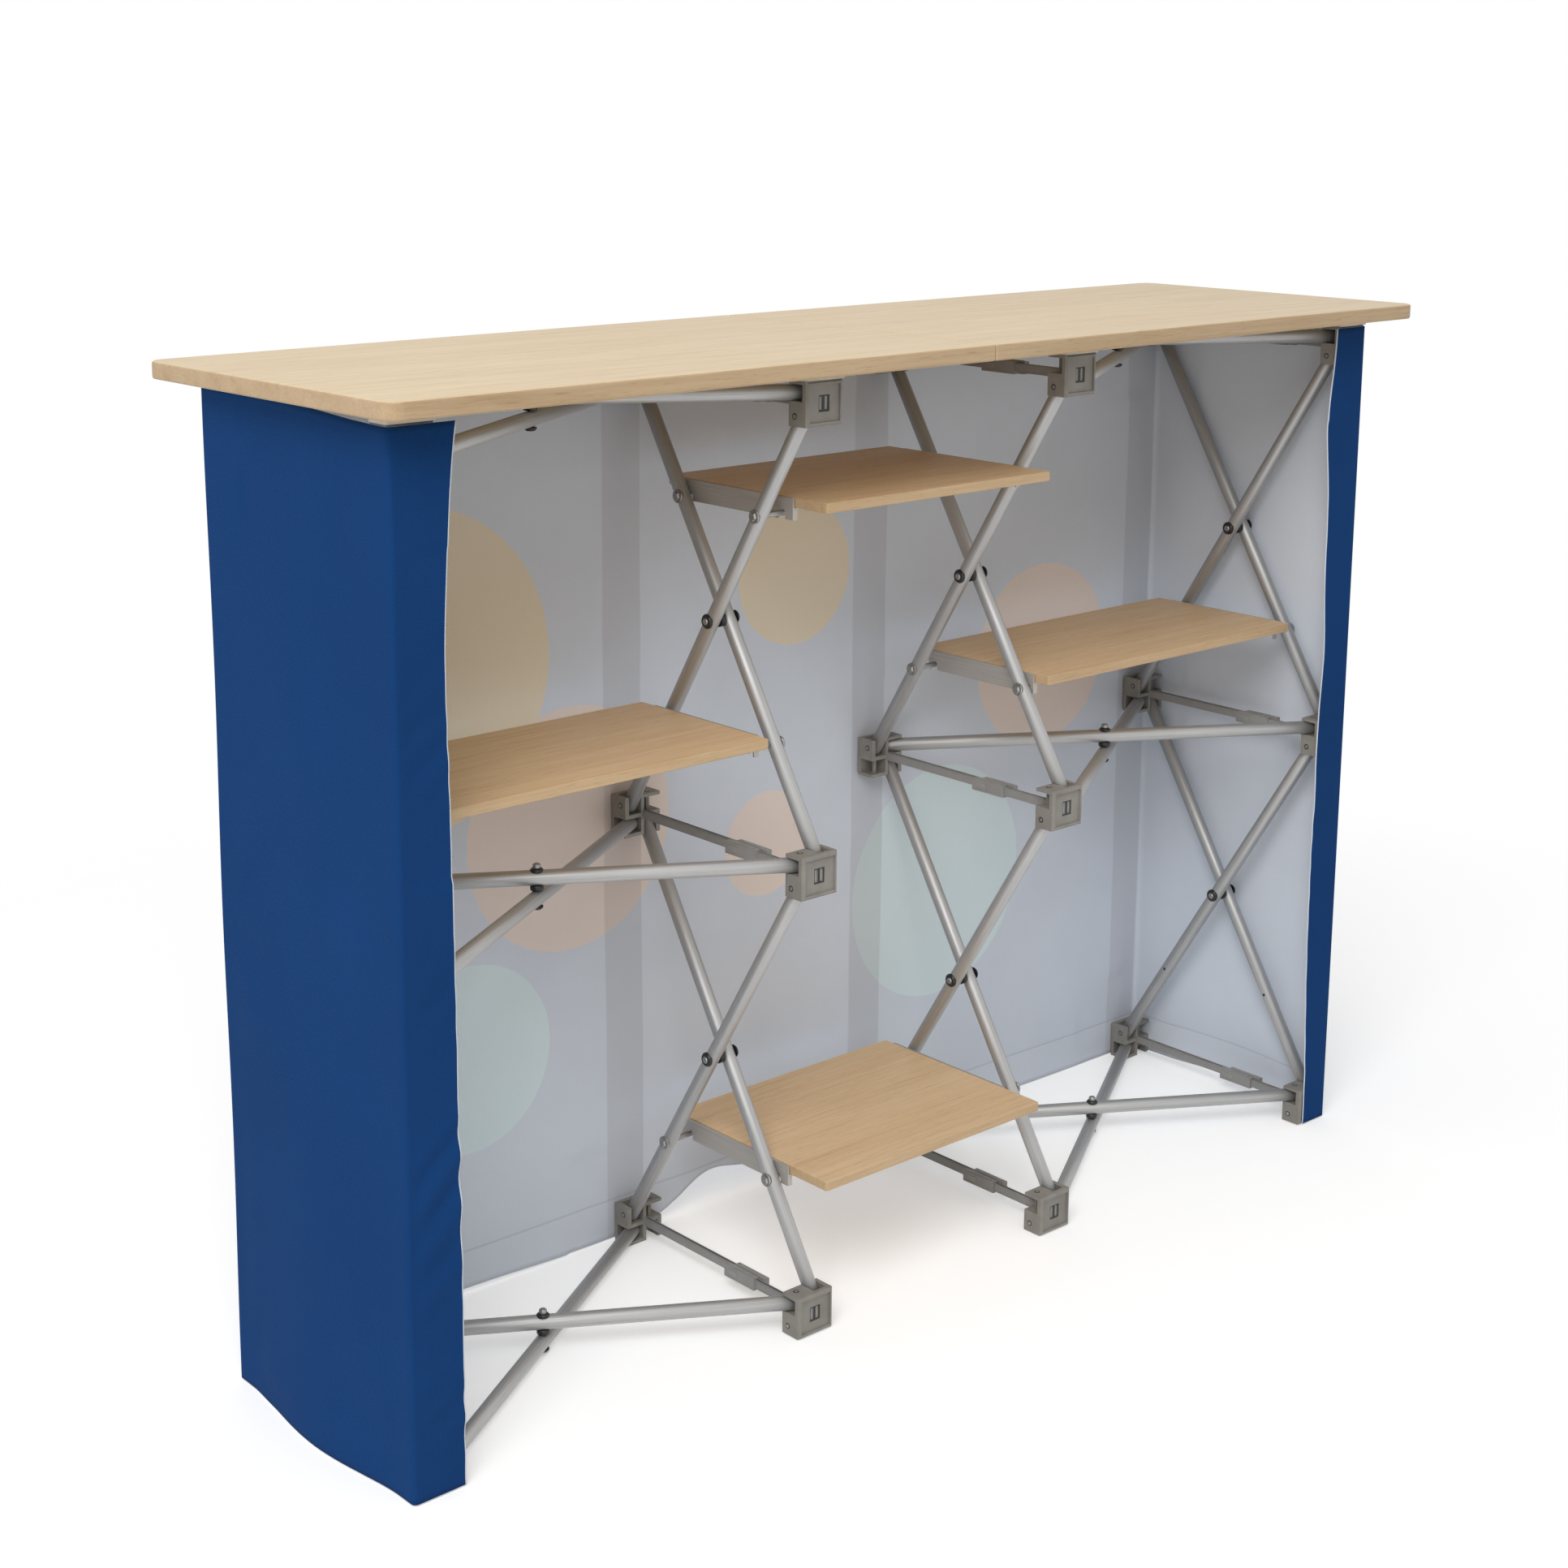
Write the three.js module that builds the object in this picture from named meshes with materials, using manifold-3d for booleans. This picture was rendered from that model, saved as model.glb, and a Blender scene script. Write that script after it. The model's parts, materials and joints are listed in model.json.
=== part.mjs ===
// Folding portable bar: two pop-up scissor frames, a counter top in two halves, loose shelves, fabric skirt.
// Millimetres, +Z up. The origin is on the floor under the middle of the counter.
// -Y is the server's open side.
import * as THREE from 'three';
import { mergeVertices } from 'three/addons/utils/BufferGeometryUtils.js';
import Module from 'manifold-3d';

const wasm = await Module();
wasm.setup();

// Lattice: distances between hub centres
const BAY_PITCH = 456;
const LEVEL_PITCH = 456;
const FRAME_DEPTH = 272;
const MIDDLE_GAP = 354;
const LEVEL_COUNT = 3;

// Moulded hub
const HUB_WIDTH = 46;
const HUB_DEPTH = 25;
const HUB_HEIGHT = 43;
const HUB_BEVEL = 2.2;
const HUB_FACE_WALL = 6.5;
const HUB_RECESS_BORDER = 4;
const HUB_RECESS_DEPTH = 1.8;
const HUB_WEB = 4;
const WINDOW_WIDTH = 4.2;
const WINDOW_HEIGHT = 13;
const WINDOW_DEPTH = 2.6;
const WINDOW_BAR = 2.6;
const WINDOW_BORDER = 1.4;
const WINDOW_RECESS = 0.9;
const SLOT_CLEARANCE = 0.5;

// Tubes and their pivots
const TUBE_DIAMETER = 15;
const TUBE_SIDES = 12;
const TUBE_TAIL = 6;
const TUBE_OFFSET = 10;
const PIN_DIAMETER = 5;
const PIN_REACH = 12;
const PIN_INSET = 8;
const BOLT_DIAMETER = 6;
const BOLT_HEAD_DIAMETER = 11;
const BOLT_HEAD_HEIGHT = 3.2;
const SPACER_DIAMETER = 14;
const ROUND_SIDES = 8;
const HEX_SIDES = 6;
const CLEARANCE = 0.3;
// How far joined pieces run into each other, and cuts run past a face
const LAP = 1;
const MERGE_DISTANCE = 1e-4;

// Locking struts: two arms side by side that snap together, nearer to the server's side
const ARM_WIDTH = 4.6;
const ARM_HEIGHT = 9;
const CLIP_WIDTH = 6.8;
const CLIP_HEIGHT = 13;
const CLIP_LENGTH = 46;
const LATCH_Y = -43;
const LATCH_SHIFT = 4;

// Counter top, in two halves
const TOP_LENGTH = 1370;
const TOP_DEPTH = 392;
const TOP_THICKNESS = 16;
const TOP_CORNER_RADIUS = 28;
const TOP_PAD_HEIGHT = 9;
const TOP_PAD_WIDTH = 50;
const TOP_PAD_DEPTH = 29;

// Shelves and the angle brackets under their ends
const SHELF_THICKNESS = 10;
const SHELF_CORNER_RADIUS = 3;
const SHELF_END_GAP = 21.2;
const MIDDLE_SHELF_DEPTH = 236;
const SIDE_SHELF_DEPTH = 195;
const UPPER_SHELF_Z = 825;
const UPPER_SHELF_Y = -12;
const LOWER_SHELF_Z = 142;
const LOWER_SHELF_Y = -21;
const SIDE_SHELF_Z = 597;
const SIDE_SHELF_Y = 0;
const MIDDLE_BRACKET_LENGTH = 170;
const SIDE_BRACKET_LENGTH = 157;
const BRACKET_WALL = 2;
const BRACKET_FLANGE = 20;
const BRACKET_DROP = 12;
const BRACKET_LIP = 9.5;
const BRACKET_TAB = 6;
const NOTCH_WIDTH = 9;
const BOLT_BELOW_SHELF = 6;
const BOLT_STUB = 3;
const LIP_GAP = 1;

// Fabric skirt
const FABRIC_THICKNESS = 1.2;
const FABRIC_TOP_GAP = 1.5;
const FABRIC_HUB_GAP = 0.5;
const FABRIC_CORNER_RADIUS = 4;
const FABRIC_RETURN = 62;
const FABRIC_FLOOR_GAP = 1.5;
const FABRIC_BILLOW = 7;
// Shares of the billow: on the ends, level with the hubs, and below the bottom hubs
const FABRIC_END_SHARE = 0.6;
const FABRIC_HUB_SHARE = 0.35;
const FABRIC_FOOT_SHARE = 0.3;
const FABRIC_HEM_RISE = 31;
const FABRIC_COLUMNS = 52;
const FABRIC_ROWS = 8;
const CORNER_STEPS = 3;

// Places that follow from the sizes
const columnX = {
  l: -MIDDLE_GAP / 2 - BAY_PITCH,
  a: -MIDDLE_GAP / 2,
  b: MIDDLE_GAP / 2,
  c: MIDDLE_GAP / 2 + BAY_PITCH,
};
const levelNames = ['bottom', 'mid', 'top'];
const levelZ = levelNames.map((_, level) => HUB_HEIGHT / 2 + level * LEVEL_PITCH);
const hubTop = levelZ[LEVEL_COUNT - 1] + HUB_HEIGHT / 2;
const hubY = FRAME_DEPTH / 2;
const hubFace = hubY + HUB_DEPTH / 2;
const pivotY = hubFace - HUB_DEPTH + PIN_INSET;
const tubeRadius = TUBE_DIAMETER / 2;
const bracketNear = SHELF_END_GAP - BRACKET_WALL - LIP_GAP;
const ladderSlope = (LEVEL_PITCH - 2 * PIN_REACH) / (2 * pivotY);
const span = (a, b) => [Math.min(a, b), Math.max(a, b)];

const finish = {
  hub: new THREE.MeshStandardMaterial({ color: 0x8f8d88, roughness: 0.55, metalness: 0.0 }),
  tube: new THREE.MeshStandardMaterial({ color: 0xb9bbbd, roughness: 0.32, metalness: 1.0 }),
  top: new THREE.MeshStandardMaterial({ color: 0xd9cbb6, roughness: 0.5, metalness: 0.0 }),
  shelf: new THREE.MeshStandardMaterial({ color: 0xc9b296, roughness: 0.55, metalness: 0.0 }),
  fabric: new THREE.MeshStandardMaterial({ color: 0x1b427a, roughness: 0.85, metalness: 0.0 }),
};

// Solids: three.js shapes are joined and cut as closed meshes
function solid(geometry) {
  geometry.deleteAttribute('normal');
  geometry.deleteAttribute('uv');
  const merged = mergeVertices(geometry, MERGE_DISTANCE);
  const vertProperties = new Float32Array(merged.attributes.position.array);
  const triVerts = new Uint32Array(merged.index.array);
  return new wasm.Manifold(new wasm.Mesh({ numProp: 3, vertProperties, triVerts }));
}

function geometryOf(manifold) {
  const mesh = manifold.getMesh();
  const geometry = new THREE.BufferGeometry();
  geometry.setAttribute('position', new THREE.BufferAttribute(new Float32Array(mesh.vertProperties), 3));
  geometry.setIndex(new THREE.BufferAttribute(new Uint32Array(mesh.triVerts), 1));
  return geometry;
}

function block(x0, x1, y0, y1, z0, z1) {
  const geometry = new THREE.BoxGeometry(x1 - x0, y1 - y0, z1 - z0);
  geometry.translate((x0 + x1) / 2, (y0 + y1) / 2, (z0 + z1) / 2);
  return solid(geometry);
}

// A round or hexagonal rod along X from x0 to x1
function rodX(diameter, x0, x1, y, z, sides) {
  const geometry = new THREE.CylinderGeometry(diameter / 2, diameter / 2, x1 - x0, sides);
  geometry.rotateZ(Math.PI / 2);
  geometry.translate((x0 + x1) / 2, y, z);
  return solid(geometry);
}

// The same along Z from z0 to z1
function rodZ(diameter, z0, z1, x, y, sides) {
  const geometry = new THREE.CylinderGeometry(diameter / 2, diameter / 2, z1 - z0, sides);
  geometry.rotateX(Math.PI / 2);
  geometry.translate(x, y, (z0 + z1) / 2);
  return solid(geometry);
}

// A board lying flat: a rectangle whose corners are rounded by their own radii
function board(x0, x1, y0, y1, z0, thickness, radiusLow, radiusHigh) {
  const shape = new THREE.Shape();
  shape.moveTo(x0 + radiusLow, y0);
  shape.lineTo(x1 - radiusHigh, y0);
  if (radiusHigh > 0) shape.absarc(x1 - radiusHigh, y0 + radiusHigh, radiusHigh, -Math.PI / 2, 0);
  shape.lineTo(x1, y1 - radiusHigh);
  if (radiusHigh > 0) shape.absarc(x1 - radiusHigh, y1 - radiusHigh, radiusHigh, 0, Math.PI / 2);
  shape.lineTo(x0 + radiusLow, y1);
  if (radiusLow > 0) shape.absarc(x0 + radiusLow, y1 - radiusLow, radiusLow, Math.PI / 2, Math.PI);
  shape.lineTo(x0, y0 + radiusLow);
  if (radiusLow > 0) shape.absarc(x0 + radiusLow, y0 + radiusLow, radiusLow, Math.PI, 1.5 * Math.PI);
  const settings = { depth: thickness, bevelEnabled: false, curveSegments: 4 };
  const geometry = new THREE.ExtrudeGeometry(shape, settings);
  geometry.translate(0, 0, z0);
  return solid(geometry);
}

// Hub in its own frame: -Y is the outer face, the slots open towards +Y.
// The four slots turn like a pinwheel, so each tube passes beside its partner.
function hubBody() {
  const halfW = HUB_WIDTH / 2;
  const halfD = HUB_DEPTH / 2;
  const halfH = HUB_HEIGHT / 2;
  const outline = new THREE.Shape();
  outline.moveTo(-halfW, -halfH);
  outline.lineTo(halfW, -halfH);
  outline.lineTo(halfW, halfH);
  outline.lineTo(-halfW, halfH);
  const geometry = new THREE.ExtrudeGeometry(outline, {
    depth: HUB_DEPTH,
    bevelThickness: HUB_BEVEL,
    bevelSize: HUB_BEVEL,
    bevelOffset: -HUB_BEVEL,
    bevelSegments: 1,
  });
  geometry.rotateX(Math.PI / 2);
  geometry.translate(0, halfD + HUB_BEVEL, 0);
  const beyond = block(-HUB_WIDTH, HUB_WIDTH, halfD, 2 * HUB_DEPTH, -HUB_HEIGHT, HUB_HEIGHT);
  let hub = solid(geometry).subtract(beyond);

  const web = HUB_WEB / 2;
  const slotFar = TUBE_OFFSET + tubeRadius + SLOT_CLEARANCE;
  const slotY0 = -halfD + HUB_FACE_WALL;
  const slotY1 = halfD + LAP;
  hub = hub.subtract(block(-halfW - LAP, -web, slotY0, slotY1, web, slotFar));
  hub = hub.subtract(block(web, slotFar, slotY0, slotY1, web, halfH + LAP));
  hub = hub.subtract(block(web, halfW + LAP, slotY0, slotY1, -slotFar, -web));
  hub = hub.subtract(block(-slotFar, -web, slotY0, slotY1, -halfH - LAP, -web));

  const recessX = halfW - HUB_RECESS_BORDER;
  const recessZ = halfH - HUB_RECESS_BORDER;
  const faceY = -halfD + HUB_RECESS_DEPTH;
  hub = hub.subtract(block(-recessX, recessX, -halfD - LAP, faceY, -recessZ, recessZ));
  const windowX = WINDOW_BAR / 2 + WINDOW_WIDTH + WINDOW_BORDER;
  const windowZ = WINDOW_HEIGHT / 2 + WINDOW_BORDER;
  hub = hub.subtract(block(-windowX, windowX, -halfD, faceY + WINDOW_RECESS, -windowZ, windowZ));
  const windowY1 = faceY + WINDOW_DEPTH;
  for (const side of [-1, 1]) {
    const inner = side * WINDOW_BAR / 2;
    const outer = side * (WINDOW_BAR / 2 + WINDOW_WIDTH);
    const low = Math.min(inner, outer);
    const high = Math.max(inner, outer);
    hub = hub.subtract(block(low, high, -halfD, windowY1, -WINDOW_HEIGHT / 2, WINDOW_HEIGHT / 2));
  }

  const pinY = halfD - PIN_INSET;
  hub = hub.add(rodZ(PIN_DIAMETER, web - LAP, slotFar + LAP, -PIN_REACH, pinY, HEX_SIDES));
  hub = hub.add(rodZ(PIN_DIAMETER, -slotFar - LAP, -web + LAP, PIN_REACH, pinY, HEX_SIDES));
  hub = hub.add(rodX(PIN_DIAMETER, web - LAP, slotFar + LAP, pinY, PIN_REACH, HEX_SIDES));
  hub = hub.add(rodX(PIN_DIAMETER, -slotFar - LAP, -web + LAP, pinY, -PIN_REACH, HEX_SIDES));
  return hub;
}

// The strut arm leaves the inner face on one side of the middle; its clip ends at the reach given
function hubWithArm(reach, side) {
  const inner = side * CLEARANCE;
  const bar = (width, height, y0, y1) =>
    block(...span(inner, inner + side * width), y0, y1, -height / 2, height / 2);
  const arm = bar(ARM_WIDTH, ARM_HEIGHT, HUB_DEPTH / 2 - LAP, reach - LAP);
  const clip = bar(CLIP_WIDTH, CLIP_HEIGHT, reach - CLIP_LENGTH, reach);
  return geometryOf(hubBody().add(arm).add(clip));
}

const model = new THREE.Group();
model.name = 'folding_portable_bar';

function addMesh(name, geometry, material, parent = model) {
  const mesh = new THREE.Mesh(geometry, material);
  mesh.name = name;
  parent.add(mesh);
  return mesh;
}

// Hubs: the far ones are the near ones turned half round about X
const nearReach = hubY + LATCH_Y + LATCH_SHIFT + CLIP_LENGTH / 2;
const farReach = hubY - LATCH_Y + LATCH_SHIFT + CLIP_LENGTH / 2;
const nearHub = hubWithArm(nearReach, -1);
const farHub = hubWithArm(farReach, 1);
for (const [column, x] of Object.entries(columnX)) {
  levelNames.forEach((level, index) => {
    const near = addMesh(`hub_near_${column}_${level}`, nearHub, finish.hub);
    near.position.set(x, -hubY, levelZ[index]);
    const far = addMesh(`hub_far_${column}_${level}`, farHub, finish.hub);
    far.position.set(x, hubY, levelZ[index]);
    far.rotation.x = Math.PI;
  });
}

// A faceted hole whose flats clear a pin that may turn in it
function holeAcross(pin, sides) {
  return (pin + 2 * CLEARANCE) / Math.cos(Math.PI / sides);
}

// A tube lies along local Z from its first pivot, with its pivots along local X
function tubeSolid(length) {
  let tube = rodZ(TUBE_DIAMETER, -TUBE_TAIL, length + TUBE_TAIL, 0, 0, TUBE_SIDES);
  const hole = holeAcross(PIN_DIAMETER, HEX_SIDES);
  for (const z of [0, length]) {
    tube = tube.subtract(rodX(hole, -TUBE_DIAMETER, TUBE_DIAMETER, 0, z, HEX_SIDES));
  }
  return tube;
}

// The middle bolt belongs to one tube of a pair and passes through the other; side is where the partner is
function withMiddleBolt(tube, length, side) {
  const middle = length / 2;
  const partner = side * 2 * TUBE_OFFSET;
  const outside = -side * tubeRadius;
  const rod = (diameter, from, to, sides) =>
    rodX(diameter, Math.min(from, to), Math.max(from, to), 0, middle, sides);
  const headEnd = outside - side * BOLT_HEAD_HEIGHT;
  const spacerEnd = partner - side * (tubeRadius + CLEARANCE);
  const nutStart = partner + side * (tubeRadius + CLEARANCE);
  const nutEnd = nutStart + side * BOLT_HEAD_HEIGHT;
  let joined = tube.add(rod(BOLT_HEAD_DIAMETER, outside + side * LAP, headEnd, HEX_SIDES));
  joined = joined.add(rod(SPACER_DIAMETER, -outside - side * LAP, spacerEnd, ROUND_SIDES));
  joined = joined.add(rod(BOLT_DIAMETER, 0, nutStart + side * LAP, ROUND_SIDES));
  return joined.add(rod(BOLT_HEAD_DIAMETER, nutStart, nutEnd, HEX_SIDES));
}

function withBoltHole(tube, length) {
  const hole = holeAcross(BOLT_DIAMETER, ROUND_SIDES);
  return tube.subtract(rodX(hole, -TUBE_DIAMETER, TUBE_DIAMETER, 0, length / 2, ROUND_SIDES));
}

// A shelf bolt through a ladder tube: a head on one side, a stub under the bracket on the other
function withShelfBolt(tube, along, tubeX, side) {
  const stubEnd = side * (bracketNear + BRACKET_WALL + BOLT_STUB) - tubeX;
  const head = -side * (tubeRadius + BOLT_HEAD_HEIGHT);
  const bolt = rodX(BOLT_DIAMETER, Math.min(0, stubEnd), Math.max(0, stubEnd), 0, along, ROUND_SIDES);
  const headStart = -side * (tubeRadius - LAP);
  const cap = rodX(BOLT_HEAD_DIAMETER, ...span(head, headStart), 0, along, HEX_SIDES);
  return tube.add(bolt).add(cap);
}

function placeTube(mesh, start, end, pivotAxis) {
  const along = end.clone().sub(start).normalize();
  const across = along.clone().cross(pivotAxis).normalize();
  mesh.quaternion.setFromRotationMatrix(new THREE.Matrix4().makeBasis(pivotAxis, across, along));
  mesh.position.copy(start);
}

// Ladder scissors at each column: the tube that rises to the far side lies to the right of its partner
const axisX = new THREE.Vector3(1, 0, 0);
const axisZ = new THREE.Vector3(0, 0, 1);
const shelfBolts = [
  { columns: ['a'], side: 1, z: UPPER_SHELF_Z },
  { columns: ['b'], side: -1, z: UPPER_SHELF_Z },
  { columns: ['a'], side: 1, z: LOWER_SHELF_Z },
  { columns: ['b'], side: -1, z: LOWER_SHELF_Z },
  { columns: ['l', 'b'], side: 1, z: SIDE_SHELF_Z },
  { columns: ['a', 'c'], side: -1, z: SIDE_SHELF_Z },
];
for (const [column, x] of Object.entries(columnX)) {
  for (let level = 0; level < LEVEL_COUNT - 1; level += 1) {
    const low = levelZ[level] + PIN_REACH;
    const high = levelZ[level + 1] - PIN_REACH;
    const length = Math.hypot(high - low, 2 * pivotY);
    const levelName = level === 0 ? 'lower' : 'upper';
    for (const direction of ['rising', 'falling']) {
      const rising = direction === 'rising';
      const tubeX = rising ? TUBE_OFFSET : -TUBE_OFFSET;
      const nearZ = rising ? low : high;
      const farZ = rising ? high : low;
      let tube = tubeSolid(length);
      tube = rising ? withBoltHole(tube, length) : withMiddleBolt(tube, length, 1);
      for (const bolt of shelfBolts) {
        const boltZ = bolt.z - BOLT_BELOW_SHELF;
        if (!bolt.columns.includes(column) || boltZ < low || boltZ > high) continue;
        const along = length * (boltZ - nearZ) / (farZ - nearZ);
        tube = withShelfBolt(tube, along, tubeX, bolt.side);
      }
      const mesh = addMesh(`ladder_${column}_${levelName}_${direction}`, geometryOf(tube), finish.tube);
      const start = new THREE.Vector3(x + tubeX, -pivotY, nearZ);
      const end = new THREE.Vector3(x + tubeX, pivotY, farZ);
      placeTube(mesh, start, end, axisX);
    }
  }
}

// Flat scissors between the columns of each frame, one pair at each level
for (const [frameName, leftColumn, rightColumn] of [['left', 'l', 'a'], ['right', 'b', 'c']]) {
  levelNames.forEach((level, index) => {
    const x0 = columnX[leftColumn] + PIN_REACH;
    const x1 = columnX[rightColumn] - PIN_REACH;
    const length = Math.hypot(x1 - x0, 2 * pivotY);
    const upper = addMesh(`brace_${frameName}_${level}_upper`,
      geometryOf(withMiddleBolt(tubeSolid(length), length, -1)), finish.tube);
    const upperZ = levelZ[index] + TUBE_OFFSET;
    placeTube(upper, new THREE.Vector3(x1, -pivotY, upperZ), new THREE.Vector3(x0, pivotY, upperZ), axisZ);
    const lower = addMesh(`brace_${frameName}_${level}_lower`,
      geometryOf(withBoltHole(tubeSolid(length), length)), finish.tube);
    const lowerZ = levelZ[index] - TUBE_OFFSET;
    placeTube(lower, new THREE.Vector3(x0, -pivotY, lowerZ), new THREE.Vector3(x1, pivotY, lowerZ), axisZ);
  });
}

// Counter halves with the pads that sit on the top hubs
for (const [name, side, columns] of [['left', -1, ['l', 'a']], ['right', 1, ['b', 'c']]]) {
  const seam = CLEARANCE / 2;
  const under = hubTop + TOP_PAD_HEIGHT;
  const low = side < 0 ? -TOP_LENGTH / 2 : seam;
  const high = side < 0 ? -seam : TOP_LENGTH / 2;
  const radiusLow = side < 0 ? TOP_CORNER_RADIUS : 0;
  const radiusHigh = side < 0 ? 0 : TOP_CORNER_RADIUS;
  let top = board(low, high, -TOP_DEPTH / 2, TOP_DEPTH / 2, under, TOP_THICKNESS, radiusLow, radiusHigh);
  for (const column of columns) {
    for (const y of [-hubY, hubY]) {
      const x = columnX[column];
      top = top.add(block(x - TOP_PAD_WIDTH / 2, x + TOP_PAD_WIDTH / 2, y - TOP_PAD_DEPTH / 2,
        y + TOP_PAD_DEPTH / 2, hubTop + CLEARANCE, under + LAP));
    }
  }
  addMesh(`counter_${name}`, geometryOf(top), finish.top);
}

// One end bracket: an angle whose leg has a notch for each shelf bolt.
// The side says which end of the shelf it is on.
function bracket(ladderX, side, z, middleZ, length) {
  const legFar = ladderX - side * bracketNear;
  const legNear = legFar - side * BRACKET_WALL;
  const flangeEnd = legFar - side * BRACKET_FLANGE;
  const half = length / 2;
  let angle = block(...span(legFar, legNear), -half, half, z - BRACKET_DROP, z + BRACKET_LIP);
  angle = angle.add(block(...span(legFar, flangeEnd), -half, half, z - BRACKET_WALL, z + LAP));
  const tabEnd = legFar - side * BRACKET_TAB;
  for (const end of [-1, 1]) {
    const tabY = span(end * half, end * (half - BRACKET_WALL));
    angle = angle.add(block(...span(legFar, tabEnd), ...tabY, z - BRACKET_DROP, z));
  }
  const boltZ = z - BOLT_BELOW_SHELF;
  const boltY = Math.abs(boltZ - middleZ) / ladderSlope;
  const notchX = span(legFar + side * LAP, legNear - side * LAP);
  const notchTop = boltZ + BOLT_DIAMETER / 2 + CLEARANCE;
  for (const y of [-boltY, boltY]) {
    angle = angle.subtract(block(...notchX, y - NOTCH_WIDTH / 2, y + NOTCH_WIDTH / 2,
      z - BRACKET_DROP - LAP, notchTop));
  }
  return angle;
}

// A shelf between two columns, seated on the bolts of the ladders at its ends
function addShelf(name, leftColumn, rightColumn, z, centreY, depth, bracketLength) {
  const left = columnX[leftColumn];
  const right = columnX[rightColumn];
  const level = z > levelZ[1] ? 1 : 0;
  const middleZ = (levelZ[level] + levelZ[level + 1]) / 2;
  let shelf = board(left + SHELF_END_GAP, right - SHELF_END_GAP, centreY - depth / 2, centreY + depth / 2, z,
    SHELF_THICKNESS, SHELF_CORNER_RADIUS, SHELF_CORNER_RADIUS);
  shelf = shelf.add(bracket(left, -1, z, middleZ, bracketLength));
  shelf = shelf.add(bracket(right, 1, z, middleZ, bracketLength));
  addMesh(name, geometryOf(shelf), finish.shelf);
}
const middleShelf = [MIDDLE_SHELF_DEPTH, MIDDLE_BRACKET_LENGTH];
const sideShelf = [SIDE_SHELF_DEPTH, SIDE_BRACKET_LENGTH];
addShelf('shelf_upper_middle', 'a', 'b', UPPER_SHELF_Z, UPPER_SHELF_Y, ...middleShelf);
addShelf('shelf_lower_middle', 'a', 'b', LOWER_SHELF_Z, LOWER_SHELF_Y, ...middleShelf);
addShelf('shelf_left', 'l', 'a', SIDE_SHELF_Z, SIDE_SHELF_Y, ...sideShelf);
addShelf('shelf_right', 'b', 'c', SIDE_SHELF_Z, SIDE_SHELF_Y, ...sideShelf);

// Fabric skirt: a sheet round the far side and both ends, turned in along the near side.
// It lies on the hubs and billows between them, and its hem rises between the two frames.
const fabricX = columnX.c + HUB_WIDTH / 2 + FABRIC_HUB_GAP;
const fabricY = hubFace + FABRIC_HUB_GAP;
function fabricPath(count) {
  const r = FABRIC_CORNER_RADIUS;
  const corners = [[-fabricX, -fabricY], [-fabricX, fabricY], [fabricX, fabricY], [fabricX, -fabricY]];
  const starts = [Math.PI * 1.5, Math.PI, Math.PI / 2, 0];
  const path = new THREE.CurvePath();
  let last = new THREE.Vector2(-fabricX + FABRIC_RETURN, -fabricY);
  corners.forEach(([x, y], index) => {
    const centre = new THREE.Vector2(x - Math.sign(x) * r, y - Math.sign(y) * r);
    const start = starts[index];
    const arc = new THREE.EllipseCurve(centre.x, centre.y, r, r, start, start - Math.PI / 2, true);
    path.add(new THREE.LineCurve(last, arc.getPoint(0)));
    path.add(arc);
    last = arc.getPoint(1);
  });
  path.add(new THREE.LineCurve(last, new THREE.Vector2(fabricX - FABRIC_RETURN, -fabricY)));
  const total = path.getLength();
  const points = [];
  path.curves.forEach((curve, index) => {
    const straight = index % 2 === 0;
    const share = Math.max(2, Math.round(count * curve.getLength() / total));
    const steps = straight ? share : CORNER_STEPS;
    for (let step = index === 0 ? 0 : 1; step <= steps; step += 1) {
      const tangent = curve.getTangent(step / steps);
      points.push({ at: curve.getPoint(step / steps), out: new THREE.Vector2(-tangent.y, tangent.x) });
    }
  });
  return points;
}

// How far the cloth stands off between two supports: none at a support, most halfway
function between(value, supports) {
  for (let index = 1; index < supports.length; index += 1) {
    if (value > supports[index]) continue;
    const share = (value - supports[index - 1]) / (supports[index] - supports[index - 1]);
    return Math.sin(Math.PI * THREE.MathUtils.clamp(share, 0, 1)) ** 2;
  }
  return 0;
}

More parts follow.
